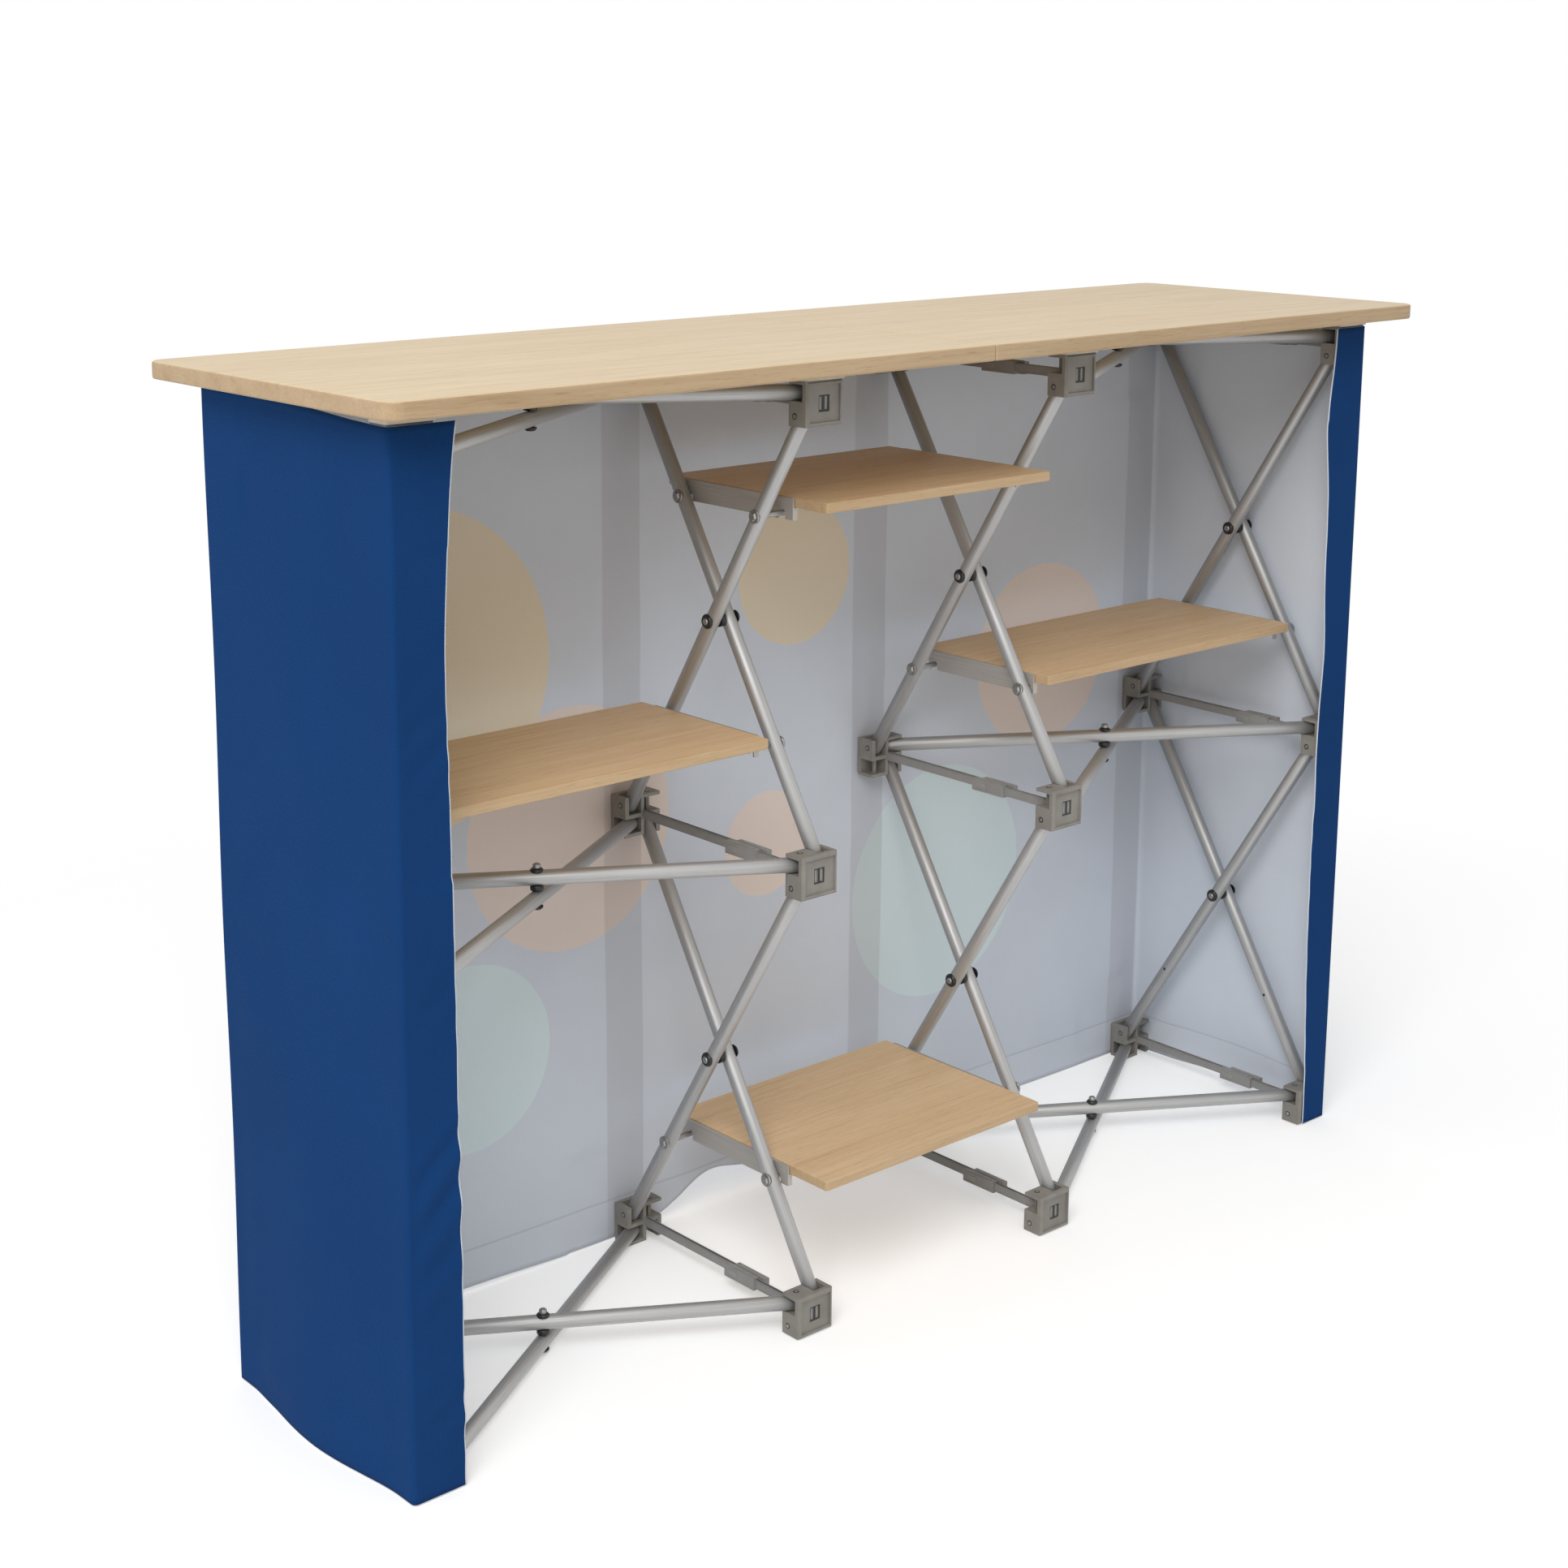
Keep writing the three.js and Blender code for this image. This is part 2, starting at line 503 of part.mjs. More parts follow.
function fabricGeometry() {
  const path = fabricPath(FABRIC_COLUMNS);
  const top = hubTop - FABRIC_TOP_GAP;
  const columns = Object.values(columnX);
  const positions = [];
  const index = [];
  const rows = FABRIC_ROWS + 1;
  for (const layer of [0, FABRIC_THICKNESS]) {
    path.forEach(({ at, out }) => {
      const onFar = at.y > fabricY - FABRIC_CORNER_RADIUS / 2;
      const acrossSlack = onFar ? between(at.x, columns) : FABRIC_END_SHARE * between(at.y, [-hubY, hubY]);
      const gap = onFar ? between(at.x, [columnX.a, columnX.b]) : 0;
      const hem = FABRIC_FLOOR_GAP + FABRIC_HEM_RISE * gap;
      for (let row = 0; row < rows; row += 1) {
        const z = hem + (top - hem) * row / FABRIC_ROWS;
        const loose = between(z, levelZ) + (z < levelZ[0] ? FABRIC_FOOT_SHARE : 0);
        const swell = FABRIC_BILLOW * acrossSlack * (FABRIC_HUB_SHARE + (1 - FABRIC_HUB_SHARE) * loose);
        positions.push(at.x + out.x * (layer + swell), at.y + out.y * (layer + swell), z);
      }
    });
  }
  const count = path.length;
  const id = (layer, column, row) => layer * count * rows + column * rows + row;
  const quad = (a, b, c, d) => index.push(a, b, c, a, c, d);
  for (let column = 0; column < count - 1; column += 1) {
    for (let row = 0; row < FABRIC_ROWS; row += 1) {
      quad(id(0, column, row), id(0, column + 1, row), id(0, column + 1, row + 1), id(0, column, row + 1));
      quad(id(1, column, row), id(1, column, row + 1), id(1, column + 1, row + 1), id(1, column + 1, row));
    }
    const last = FABRIC_ROWS;
    quad(id(0, column, 0), id(1, column, 0), id(1, column + 1, 0), id(0, column + 1, 0));
    quad(id(0, column, last), id(0, column + 1, last), id(1, column + 1, last), id(1, column, last));
  }
  for (let row = 0; row < FABRIC_ROWS; row += 1) {
    const end = count - 1;
    quad(id(0, 0, row), id(0, 0, row + 1), id(1, 0, row + 1), id(1, 0, row));
    quad(id(0, end, row), id(1, end, row), id(1, end, row + 1), id(0, end, row + 1));
  }
  const geometry = new THREE.BufferGeometry();
  geometry.setAttribute('position', new THREE.Float32BufferAttribute(positions, 3));
  geometry.setIndex(index);
  return geometry;
}
addMesh('fabric_skirt', fabricGeometry(), finish.fabric);

export default model;
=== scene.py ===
import json
import math

import bmesh
import bpy
from mathutils import Euler, Matrix, Vector, noise


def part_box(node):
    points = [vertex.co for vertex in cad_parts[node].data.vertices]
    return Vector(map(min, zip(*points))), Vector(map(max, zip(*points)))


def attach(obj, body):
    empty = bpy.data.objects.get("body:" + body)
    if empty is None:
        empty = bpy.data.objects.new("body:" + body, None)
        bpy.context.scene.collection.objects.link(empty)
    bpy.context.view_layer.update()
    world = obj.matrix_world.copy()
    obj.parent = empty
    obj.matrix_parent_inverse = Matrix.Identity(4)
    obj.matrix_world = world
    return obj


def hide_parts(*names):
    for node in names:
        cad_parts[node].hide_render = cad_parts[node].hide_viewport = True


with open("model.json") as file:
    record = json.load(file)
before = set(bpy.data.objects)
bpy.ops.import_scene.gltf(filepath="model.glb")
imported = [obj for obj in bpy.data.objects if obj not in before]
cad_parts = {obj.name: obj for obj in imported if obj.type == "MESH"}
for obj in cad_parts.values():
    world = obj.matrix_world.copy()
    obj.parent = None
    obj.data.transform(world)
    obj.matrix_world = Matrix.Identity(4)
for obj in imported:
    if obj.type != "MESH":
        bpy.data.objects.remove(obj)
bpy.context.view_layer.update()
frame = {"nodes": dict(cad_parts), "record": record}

# Sizes in metres. Hub places and box sizes come from the frame; these say how the pieces sit in them.
HUB_HALF = Vector((0.023, 0.0125, 0.0215))
HUB_SOFTENING = 0.0007
FITTING_SOFTENING = 0.0002

TUBE_RADIUS = 0.0075
TUBE_TAIL = 0.006
TUBE_EDGE = 0.0006
TUBE_OFFSET = 0.010
TUBE_STEPS = 40

PIN_REACH = 0.012
PIN_INSET = 0.008
PIN_STEPS = 20
# Profiles of a pin's end: height over the hub's face, radius
PIN_SEAT = ((-0.001, 0.0031), (0.0002, 0.0031), (0.0003, 0.0029))
PIN_HEAD = ((-0.001, 0.0021), (0.0004, 0.0021), (0.0006, 0.0017))

TURNED_RIM = 0.0006
TURNED_STEPS = 24
# The shoulder of a domed end, in shares of the dome's height: below the top, and inwards
DOME_SHOULDER = (0.4, 0.5)
BOLT_DIAMETER = 0.006
BOLT_DOME = 0.0006
MIDDLE_BOLT_DIAMETER = 0.00552
NUT_SIDES = 6
NUT_ACROSS = 0.0105
NUT_HEIGHT = 0.0032
NUT_DOME = 0.001
BOLT_TIP_DIAMETER = 0.0078
BRACE_BOLT_TIP = 0.0065
LADDER_WASHER = 0.0150
BRACE_WASHER = 0.0130
FAR_WASHER_SHARE = 0.9
WASHER_SEAT = 0.0012
WASHER_HEIGHT = 0.0022
WASHER_DOME = 0.0012
WASHER_GAP = 0.0003
SHELF_WASHER = 0.01365
SHELF_WASHER_SEAT = 0.002
SHELF_WASHER_HEIGHT = 0.001
HOLE_DIAMETER = 0.0042
HOLE_SINK = 0.0012

BRACKET_WALL = 0.002
BRACKET_FLANGE = 0.020
BRACKET_DROP = 0.012
BRACKET_LIP = 0.0095
BRACKET_TAB = 0.006
BRACKET_SOFTENING = 0.0003
MIDDLE_BRACKET_LENGTH = 0.170
SIDE_BRACKET_LENGTH = 0.157
NOTCH_WIDTH = 0.009
NOTCH_CORNER = 0.003
NOTCH_STEPS = 5
NOTCH_CLEARANCE = 0.0003
BRACKET_FROM_LADDER = 0.0182
SHELF_THICKNESS = 0.010
SHELF_CORNER = 0.003
SHELF_CORNER_STEPS = 6
SHELF_END_GAP = 0.001
SHELF_SOFTENING = 0.0011
BOLT_BELOW_SHELF = 0.006
BOLT_STUB = 0.003

# Thin trim on the hubs: how deep it sits in its solid, and how far it stands out
TRIM_SINK = 0.0005
ARM_GAP = 0.0003
ARM_WIDTH = 0.0046
ARM_HEIGHT = 0.009
ARM_START = 0.001
ARM_RIM = 0.0013
ARM_RIM_RISE = 0.0005
ARM_GROOVE_RISE = 0.0001
ARM_BEAD_HEIGHT = 0.0015
ARM_BEAD_RISE = 0.0005
CLIP_WIDTH = 0.0068
CLIP_HEIGHT = 0.013
CLIP_LENGTH = 0.046
CLIP_PLATE_INSET = 0.0008
CLIP_PLATE_END = 0.006
CLIP_PLATE_RISE = 0.0006
CLIP_LUG_LENGTH = 0.014
CLIP_LUG_HALF = 0.003
CLIP_BEAD = (0.0002, 0.0018)
CLIP_BEAD_END = 0.003
CLIP_BEAD_RISE = 0.0004
WINDOW_WIDTH = 0.0042
WINDOW_HEIGHT = 0.013
WINDOW_BAR = 0.0026
WINDOW_FLOOR = 0.0044
WINDOW_PANE_DEPTH = 0.0017
WINDOW_BORDER = 0.0012
WINDOW_SINK = 0.0003
WINDOW_RISE = 0.0002
PANE_RISE = 0.0008
PANE_GAP = 0.0002

TOP_THICKNESS = 0.016
TOP_CORNER = 0.017
TOP_SOFTENING = 0.0022
TOP_SOFTENING_STEPS = 4
NEAR_PAD = (0.050, 0.029)
FAR_PAD = (0.045, 0.024)
PAD_CORNER = 0.004
PAD_CORNER_STEPS = 5
PAD_SOFTENING = 0.0008

BEVEL_ANGLE = math.radians(35)
X_INDEX, Z_INDEX = 0, 2
X_DIRECTION = Vector((1.0, 0.0, 0.0))
Z_DIRECTION = Vector((0.0, 0.0, 1.0))

nodes = frame["nodes"]
bodies = frame["record"]["behaviour"]["bodies"]
body_of_node = {node: body for body, members in bodies.items() for node in members}
columns = ("l", "a", "b", "c")
levels = ("bottom", "mid", "top")


def hub_centre(side, column, level):
    """The middle of a hub without its strut arm, which reaches inwards."""
    low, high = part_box(f"hub_{side}_{column}_{level}")
    y = low.y + HUB_HALF.y if side == "near" else high.y - HUB_HALF.y
    return Vector(((low.x + high.x) / 2, y, (low.z + high.z) / 2))


hubs = {(s, c, v): hub_centre(s, c, v) for s in ("near", "far") for c in columns for v in levels}
column_x = {c: hubs["near", c, "mid"].x for c in columns}
level_z = [hubs["near", "a", v].z for v in levels]
hub_y = hubs["far", "a", "mid"].y
hub_top = level_z[2] + HUB_HALF.z
pivot_y = hub_y - HUB_HALF.y + PIN_INSET


# Materials
WHITE = (1.0, 1.0, 1.0)
WEAVE_SHADE_BLACK = (0.0, 0.0, 0.0)
WOOD_STREAK = (0.88, 0.85, 0.80)
WOOD_PORE = (0.78, 0.73, 0.66)
# Strut arms and their trim: a greyer tone than the hub's, made lighter by painted light where they sit in
# the shade under the counter
STRUT_TONE_WITH_PAINTED_LIGHT = (0.315, 0.309, 0.298)
ARM_TONE_START = 0.0002
DISC_BLUR = 0.0008
WEAVE_SCALE = 190.0
# On the inside of the skirt: darker bands behind the hub columns, and the seam of the hem
BAND_TONE = (0.32, 0.29, 0.29)
BAND_OFFSET = 0.006
BAND_EDGE = (0.0255, 0.0235)
SEAM_HEIGHT = 0.046
SEAM_BLUR = 0.0004
SEAM_HALF = 0.0016
SEAM_TONE = (0.20, 0.21, 0.24)
DOUBLED_TONE = (0.80, 0.84, 0.90)
# Painted shade in the hollows of the weave on the inside
WEAVE_SHADE_TONE = (0.2, 0.2, 0.24)
MIX_FACTOR, MIX_FIRST, MIX_SECOND, MIX_RESULT = 0, 6, 7, 2


def new_material(name):
    material = bpy.data.materials.new(name)
    material.use_nodes = True
    shader = material.node_tree.nodes["Principled BSDF"]
    return material, material.node_tree, shader


def add(tree, kind, **values):
    node = tree.nodes.new(kind)
    for key, value in values.items():
        setattr(node, key, value)
    return node


def feed(tree, socket, value):
    """Links a value to a socket, or sets a number or a colour on the socket itself."""
    if isinstance(value, bpy.types.NodeSocket):
        tree.links.new(value, socket)
    elif isinstance(value, tuple):
        socket.default_value = (*value, 1.0)
    else:
        socket.default_value = value


def coordinates(tree, output="Object"):
    return add(tree, "ShaderNodeTexCoord").outputs[output]


def object_axes(tree):
    split = add(tree, "ShaderNodeSeparateXYZ")
    tree.links.new(coordinates(tree), split.inputs["Vector"])
    return split.outputs


def noise_value(tree, scale, detail=4.0, roughness=0.6, distortion=0.0, stretch=(1.0, 1.0, 1.0)):
    """Noise in the object's own space, which is stretched along its axes first."""
    mapping = add(tree, "ShaderNodeMapping")
    mapping.inputs["Scale"].default_value = stretch
    tree.links.new(coordinates(tree), mapping.inputs["Vector"])
    texture = add(tree, "ShaderNodeTexNoise")
    settings = {"Scale": scale, "Detail": detail, "Roughness": roughness, "Distortion": distortion}
    for key, value in settings.items():
        texture.inputs[key].default_value = value
    tree.links.new(mapping.outputs["Vector"], texture.inputs["Vector"])
    return texture.outputs["Fac"]


def ramp(tree, value, stops):
    node = add(tree, "ShaderNodeValToRGB")
    while len(node.color_ramp.elements) < len(stops):
        node.color_ramp.elements.new(0.5)
    for element, (place, colour) in zip(node.color_ramp.elements, stops):
        element.position = place
        element.color = (*colour, 1.0)
    tree.links.new(value, node.inputs["Fac"])
    return node.outputs["Color"]


def mix(tree, factor, first, second, blend="MIX"):
    node = add(tree, "ShaderNodeMix", data_type="RGBA", blend_type=blend)
    feed(tree, node.inputs[MIX_FACTOR], factor)
    feed(tree, node.inputs[MIX_FIRST], first)
    feed(tree, node.inputs[MIX_SECOND], second)
    return node.outputs[MIX_RESULT]


def math_node(tree, operation, first, second=0.0):
    node = add(tree, "ShaderNodeMath", operation=operation)
    feed(tree, node.inputs[0], first)
    feed(tree, node.inputs[1], second)
    return node.outputs[0]


def map_range(tree, value, low, high, to_low=0.0, to_high=1.0):
    node = add(tree, "ShaderNodeMapRange")
    tree.links.new(value, node.inputs["Value"])
    for key, number in (("From Min", low), ("From Max", high), ("To Min", to_low), ("To Max", to_high)):
        node.inputs[key].default_value = number
    return node.outputs["Result"]


def tinted(tree, colour, mask, share, tint):
    """Mixes a share of a tint into a colour where the mask is 1."""
    return mix(tree, math_node(tree, "MULTIPLY", mask, share), colour, tint)


def toned(colour, share):
    return tuple(min(1.0, share * value) for value in colour)


def bump(tree, shader, height, strength, distance):
    node = add(tree, "ShaderNodeBump")
    node.inputs["Strength"].default_value = strength
    node.inputs["Distance"].default_value = distance
    tree.links.new(height, node.inputs["Height"])
    tree.links.new(node.outputs["Normal"], shader.inputs["Normal"])


def wood_material(name, pale, mid, dark):
    """Light wood with its grain along X."""
    material, tree, shader = new_material(name)
    broad = noise_value(
        tree, scale=2.2, detail=6.0, roughness=0.65, distortion=0.7, stretch=(1.4, 22.0, 22.0))
    fine = noise_value(tree, scale=2.0, roughness=0.65, stretch=(5.0, 190.0, 190.0))
    pores = noise_value(tree, scale=1.0, detail=3.0, stretch=(45.0, 900.0, 900.0))
    grain = ramp(tree, broad, ((0.28, dark), (0.48, mid), (0.70, pale)))
    streak = ramp(tree, fine, ((0.32, WOOD_STREAK), (0.60, WHITE)))
    pore = ramp(tree, pores, ((0.28, WOOD_PORE), (0.42, WHITE)))
    colour = mix(tree, 0.8, grain, streak, "MULTIPLY")
    colour = mix(tree, 1.0, colour, pore, "MULTIPLY")
    feed(tree, shader.inputs["Base Color"], colour)
    feed(tree, shader.inputs["Roughness"], map_range(tree, fine, 0.3, 0.7, to_low=0.50, to_high=0.40))
    feed(tree, shader.inputs["Specular IOR Level"], 0.35)
    bump(tree, shader, pores, strength=0.12, distance=0.0003)
    return material


def aluminium_material(name, colour, rough, along, metal):
    """Drawn metal with fine streaks along one axis and a few smudges."""
    material, tree, shader = new_material(name)
    stretch = tuple(4.0 if axis == along else 260.0 for axis in "XYZ")
    streaks = noise_value(tree, scale=3.0, detail=3.0, stretch=stretch)
    smudge = noise_value(tree, scale=3.0, stretch=(9.0, 9.0, 9.0))
    darker = toned(colour, 0.84)
    tone = ramp(tree, streaks, ((0.30, darker), (0.62, colour)))
    tone = mix(tree, map_range(tree, smudge, 0.45, 0.75, to_high=0.22), tone, darker)
    roughness = map_range(tree, streaks, 0.25, 0.75, to_low=rough + 0.08, to_high=rough - 0.05)
    feed(tree, shader.inputs["Base Color"], tone)
    feed(tree, shader.inputs["Roughness"], roughness)
    feed(tree, shader.inputs["Metallic"], metal)
    bump(tree, shader, streaks, strength=0.05, distance=0.0002)
    return material


def plastic_material(name, colour, rough, arm=None):
    """Moulded plastic; arm is the tone of a hub's strut arm, which lies between the hubs: a greyer tone than
    the hub's, made lighter by painted light.
    """
    material, tree, shader = new_material(name)
    spark = noise_value(tree, scale=900.0, detail=2.0)
    cloud = noise_value(tree, scale=45.0)
    tone = ramp(tree, cloud, ((0.32, toned(colour, 0.86)), (0.66, toned(colour, 1.08))))
    if arm:
        depth = math_node(tree, "ABSOLUTE", object_axes(tree)["Y"])
        on_arm = math_node(tree, "LESS_THAN", depth, hub_y - HUB_HALF.y - ARM_TONE_START)
        # Painted light: the arm's tone is lighter than the hub's, standing in for light that the arm lacks
        # in the shade
        arm_tone_with_painted_light = ramp(tree, cloud, ((0.32, toned(arm, 0.88)), (0.66, arm)))
        tone = mix(tree, on_arm, tone, arm_tone_with_painted_light)
    roughness = map_range(tree, spark, 0.3, 0.7, to_low=rough + 0.06, to_high=rough - 0.06)
    feed(tree, shader.inputs["Base Color"], tone)
    feed(tree, shader.inputs["Roughness"], roughness)
    bump(tree, shader, spark, strength=0.10, distance=0.0002)
    return material


# The print is a generic one, of discs. Each entry is X, Z, radius and its place in the palette.
DISCS = (
    (-0.44, 0.66, 0.165, 0), (-0.25, 0.47, 0.130, 1), (-0.38, 0.25, 0.100, 2),
    (0.29, 0.30, 0.140, 2), (0.46, 0.55, 0.110, 1), (0.06, 0.70, 0.080, 0), (0.02, 0.40, 0.060, 1),
)


def far_side_mask(tree):
    return math_node(tree, "GREATER_THAN", object_axes(tree)["Y"], hub_y)


def disc_masks(tree):
    """The mask of each disc on the far side, with its place in the palette."""
    axes = object_axes(tree)
    flat = add(tree, "ShaderNodeCombineXYZ")
    tree.links.new(axes["X"], flat.inputs["X"])
    tree.links.new(axes["Z"], flat.inputs["Y"])
    far_side = far_side_mask(tree)
    masks = []
    for x, z, radius, tone in DISCS:
        away = add(tree, "ShaderNodeVectorMath", operation="DISTANCE")
        away.inputs[1].default_value = (x, z, 0.0)
        tree.links.new(flat.outputs["Vector"], away.inputs[0])
        inside = map_range(tree, away.outputs["Value"], radius + DISC_BLUR, radius - DISC_BLUR)
        masks.append((math_node(tree, "MULTIPLY", inside, far_side), tone))
    return masks


def weave_bump(tree, shader, strength):
    waves = []
    for direction in ("X", "Y"):
        wave = add(tree, "ShaderNodeTexWave", bands_direction=direction)
        wave.inputs["Scale"].default_value = WEAVE_SCALE
        wave.inputs["Distortion"].default_value = 0.6
        tree.links.new(coordinates(tree, "UV"), wave.inputs["Vector"])
        waves.append(wave.outputs["Fac"])
    height = math_node(tree, "MULTIPLY", waves[0], waves[1])
    bump(tree, shader, height, strength, distance=0.0004)
    return height


def fabric_outside(name, ground, palette):
    material, tree, shader = new_material(name)
    weave = weave_bump(tree, shader, strength=0.25)
    cloud = noise_value(tree, scale=5.0)
    colour = ramp(tree, cloud, ((0.30, toned(ground, 0.88)), (0.70, ground)))
    for mask, tone in disc_masks(tree):
        colour = mix(tree, mask, colour, palette[tone])
    # Painted shade: the hollows of the weave are darkened towards black
    colour = mix(tree, map_range(tree, weave, 0.0, 1.0, to_low=0.16, to_high=0.0), colour, WEAVE_SHADE_BLACK)
    feed(tree, shader.inputs["Base Color"], colour)
    feed(tree, shader.inputs["Roughness"], 0.75)
    feed(tree, shader.inputs["Specular IOR Level"], 0.06)
    return material


def fabric_inside(name, ground, palette):
    """The pale back of the cloth, where the print shows through."""
    material, tree, shader = new_material(name)
    weave = weave_bump(tree, shader, strength=0.2)
    axes = object_axes(tree)
    far_side = far_side_mask(tree)
    cloud = noise_value(tree, scale=4.0)
    colour = ramp(tree, cloud, ((0.30, toned(ground, 0.93)), (0.70, ground)))
    for mask, tone in disc_masks(tree):
        colour = tinted(tree, colour, mask, share=0.9, tint=palette[tone])
    for column in ("a", "b", "c"):
        away = math_node(tree, "SUBTRACT", axes["X"], column_x[column] - BAND_OFFSET)
        band = map_range(tree, math_node(tree, "ABSOLUTE", away), *BAND_EDGE)
        band = math_node(tree, "MULTIPLY", band, far_side)
        colour = tinted(tree, colour, band, share=0.24, tint=BAND_TONE)
    height = math_node(tree, "SUBTRACT", axes["Z"], SEAM_HEIGHT)
    doubled = map_range(tree, height, SEAM_BLUR, -SEAM_BLUR)
    colour = tinted(tree, colour, doubled, share=0.20, tint=DOUBLED_TONE)
    seam = map_range(tree, math_node(tree, "ABSOLUTE", height), SEAM_HALF, SEAM_BLUR)
    colour = tinted(tree, colour, seam, share=0.22, tint=SEAM_TONE)
    # Painted shade: the hollows of the weave are darkened towards a dark blue-grey
    colour = mix(tree, map_range(tree, weave, 0.0, 1.0, to_low=0.10, to_high=0.0), colour, WEAVE_SHADE_TONE)
    feed(tree, shader.inputs["Base Color"], colour)
    feed(tree, shader.inputs["Roughness"], 0.8)
    feed(tree, shader.inputs["Specular IOR Level"], 0.08)
    return material


look = {
    "hub": plastic_material("hub_plastic_look", (0.262, 0.246, 0.220), rough=0.56, arm=STRUT_TONE_WITH_PAINTED_LIGHT),
    "strut": plastic_material("strut_plastic_with_painted_light_look", STRUT_TONE_WITH_PAINTED_LIGHT, rough=0.52),
    "pad": plastic_material("pad_plastic_look", (0.60, 0.55, 0.47), rough=0.45),
    # Black for the washers, pin seats and window frames, and painted shade in the arms' grooves and the open
    # bolt holes
    "black": plastic_material("black_plastic_and_painted_shade_look", (0.012, 0.012, 0.013), rough=0.38),
    "tube": aluminium_material(
        "tube_aluminium_look", (0.500, 0.498, 0.494), rough=0.52, along="Z", metal=0.85),
    "bracket": aluminium_material(
        "bracket_aluminium_look", (0.560, 0.530, 0.490), rough=0.55, along="Y", metal=0.6),
    "steel": aluminium_material(
        "bolt_steel_look", (0.36, 0.355, 0.345), rough=0.42, along="Z", metal=0.9),
    "top": wood_material(
        "counter_wood_look",
        pale=(0.738, 0.588, 0.382), mid=(0.708, 0.554, 0.350), dark=(0.654, 0.493, 0.300)),
    "edge": wood_material(
        "counter_edge_look",
        pale=(0.565, 0.412, 0.254), mid=(0.522, 0.374, 0.225), dark=(0.456, 0.317, 0.179)),
    "shelf": wood_material(
        "shelf_wood_look",
        pale=(0.805, 0.575, 0.345), mid=(0.770, 0.535, 0.308), dark=(0.715, 0.480, 0.262)),
    "shelf_edge": wood_material(
        "shelf_edge_look",
        pale=(0.655, 0.475, 0.290), mid=(0.620, 0.440, 0.258), dark=(0.560, 0.385, 0.215)),
    "outside": fabric_outside(
        "skirt_outside_look", (0.0090, 0.0570, 0.201),
        palette=((0.62, 0.42, 0.10), (0.66, 0.25, 0.17), (0.16, 0.46, 0.44))),
    "inside": fabric_inside(
        "skirt_inside_look", (0.775, 0.830, 0.915),
        palette=((0.91, 0.79, 0.58), (0.93, 0.79, 0.70), (0.78, 0.91, 0.93))),
}


# Mesh building: every shape goes into a bmesh with the number of its material in the piece
ONLY = 0
TUBE, STEEL, BLACK = 0, 1, 2
STRUT = 0
BOARD, EDGE = 0, 1
OUTSIDE, INSIDE = 0, 1


def put_ring(bm, centre, along, radius, steps):
    side = along.orthogonal().normalized()
    other = along.cross(side)
    ring = []
    for step in range(steps):
        angle = 2 * math.pi * step / steps
        ring.append(bm.verts.new(centre + radius * (math.cos(angle) * side + math.sin(angle) * other)))
    return ring


def put_lathe(bm, start, along, profile, steps, material):
    """A closed turned shape: profile lists (distance along, radius) from one end to the other."""
    rings = [put_ring(bm, start + along * place, along, radius, steps) for place, radius in profile]
    faces = [bm.faces.new(list(reversed(rings[0]))), bm.faces.new(rings[-1])]
    for first, second in zip(rings, rings[1:]):
        for step in range(steps):
            after = (step + 1) % steps
            faces.append(bm.faces.new((first[step], first[after], second[after], second[step])))
    for face in faces:
        face.material_index = material
        face.smooth = len(face.verts) == 4 and steps > NUT_SIDES


def put_box(bm, low, high, material):
    made = bmesh.ops.create_cube(bm, size=1.0)["verts"]
    centre = (Vector(low) + Vector(high)) / 2
    size = Vector(high) - Vector(low)
    for vert in made:
        vert.co = Vector(vert.co[i] * size[i] + centre[i] for i in range(3))
    for face in {face for vert in made for face in vert.link_faces}:
        face.material_index = material


def put_slab(bm, outline, low, high, axis, material, side_material=None):
    """A flat outline of 2-D points raised along one axis, from low to high."""
    def place(point, level):
        values = list(point)
        values.insert(axis, level)
        return Vector(values)
    bottom = [bm.verts.new(place(point, low)) for point in outline]
    top = [bm.verts.new(place(point, high)) for point in outline]
    faces = [bm.faces.new(bottom), bm.faces.new(top)]
    for index in range(len(outline)):
        after = (index + 1) % len(outline)
        faces.append(bm.faces.new((bottom[index], bottom[after], top[after], top[index])))
    for face in faces[:2]:
        face.material_index = material
    for face in faces[2:]:
        face.material_index = material if side_material is None else side_material
    bmesh.ops.recalc_face_normals(bm, faces=faces)


def add_bevel(piece, width, segments=2):
    modifier = piece.modifiers.new("edge", "BEVEL")
    modifier.width = width
    modifier.segments = segments
    modifier.limit_method = "ANGLE"
    modifier.angle_limit = BEVEL_ANGLE
    modifier.harden_normals = True


def finish_piece(name, bm, materials, node, replace=False, matrix=None, soften=None, segments=2):
    mesh = bpy.data.meshes.new(name)
    bm.to_mesh(mesh)
    bm.free()
    piece = bpy.data.objects.new(name, mesh)
    bpy.context.scene.collection.objects.link(piece)
    for key in materials:
        mesh.materials.append(look[key])
    if matrix is not None:
        piece.matrix_world = matrix
    if soften:
        add_bevel(piece, soften, segments)
    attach(piece, body_of_node[node])
    if replace:
        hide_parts(node)
    return piece


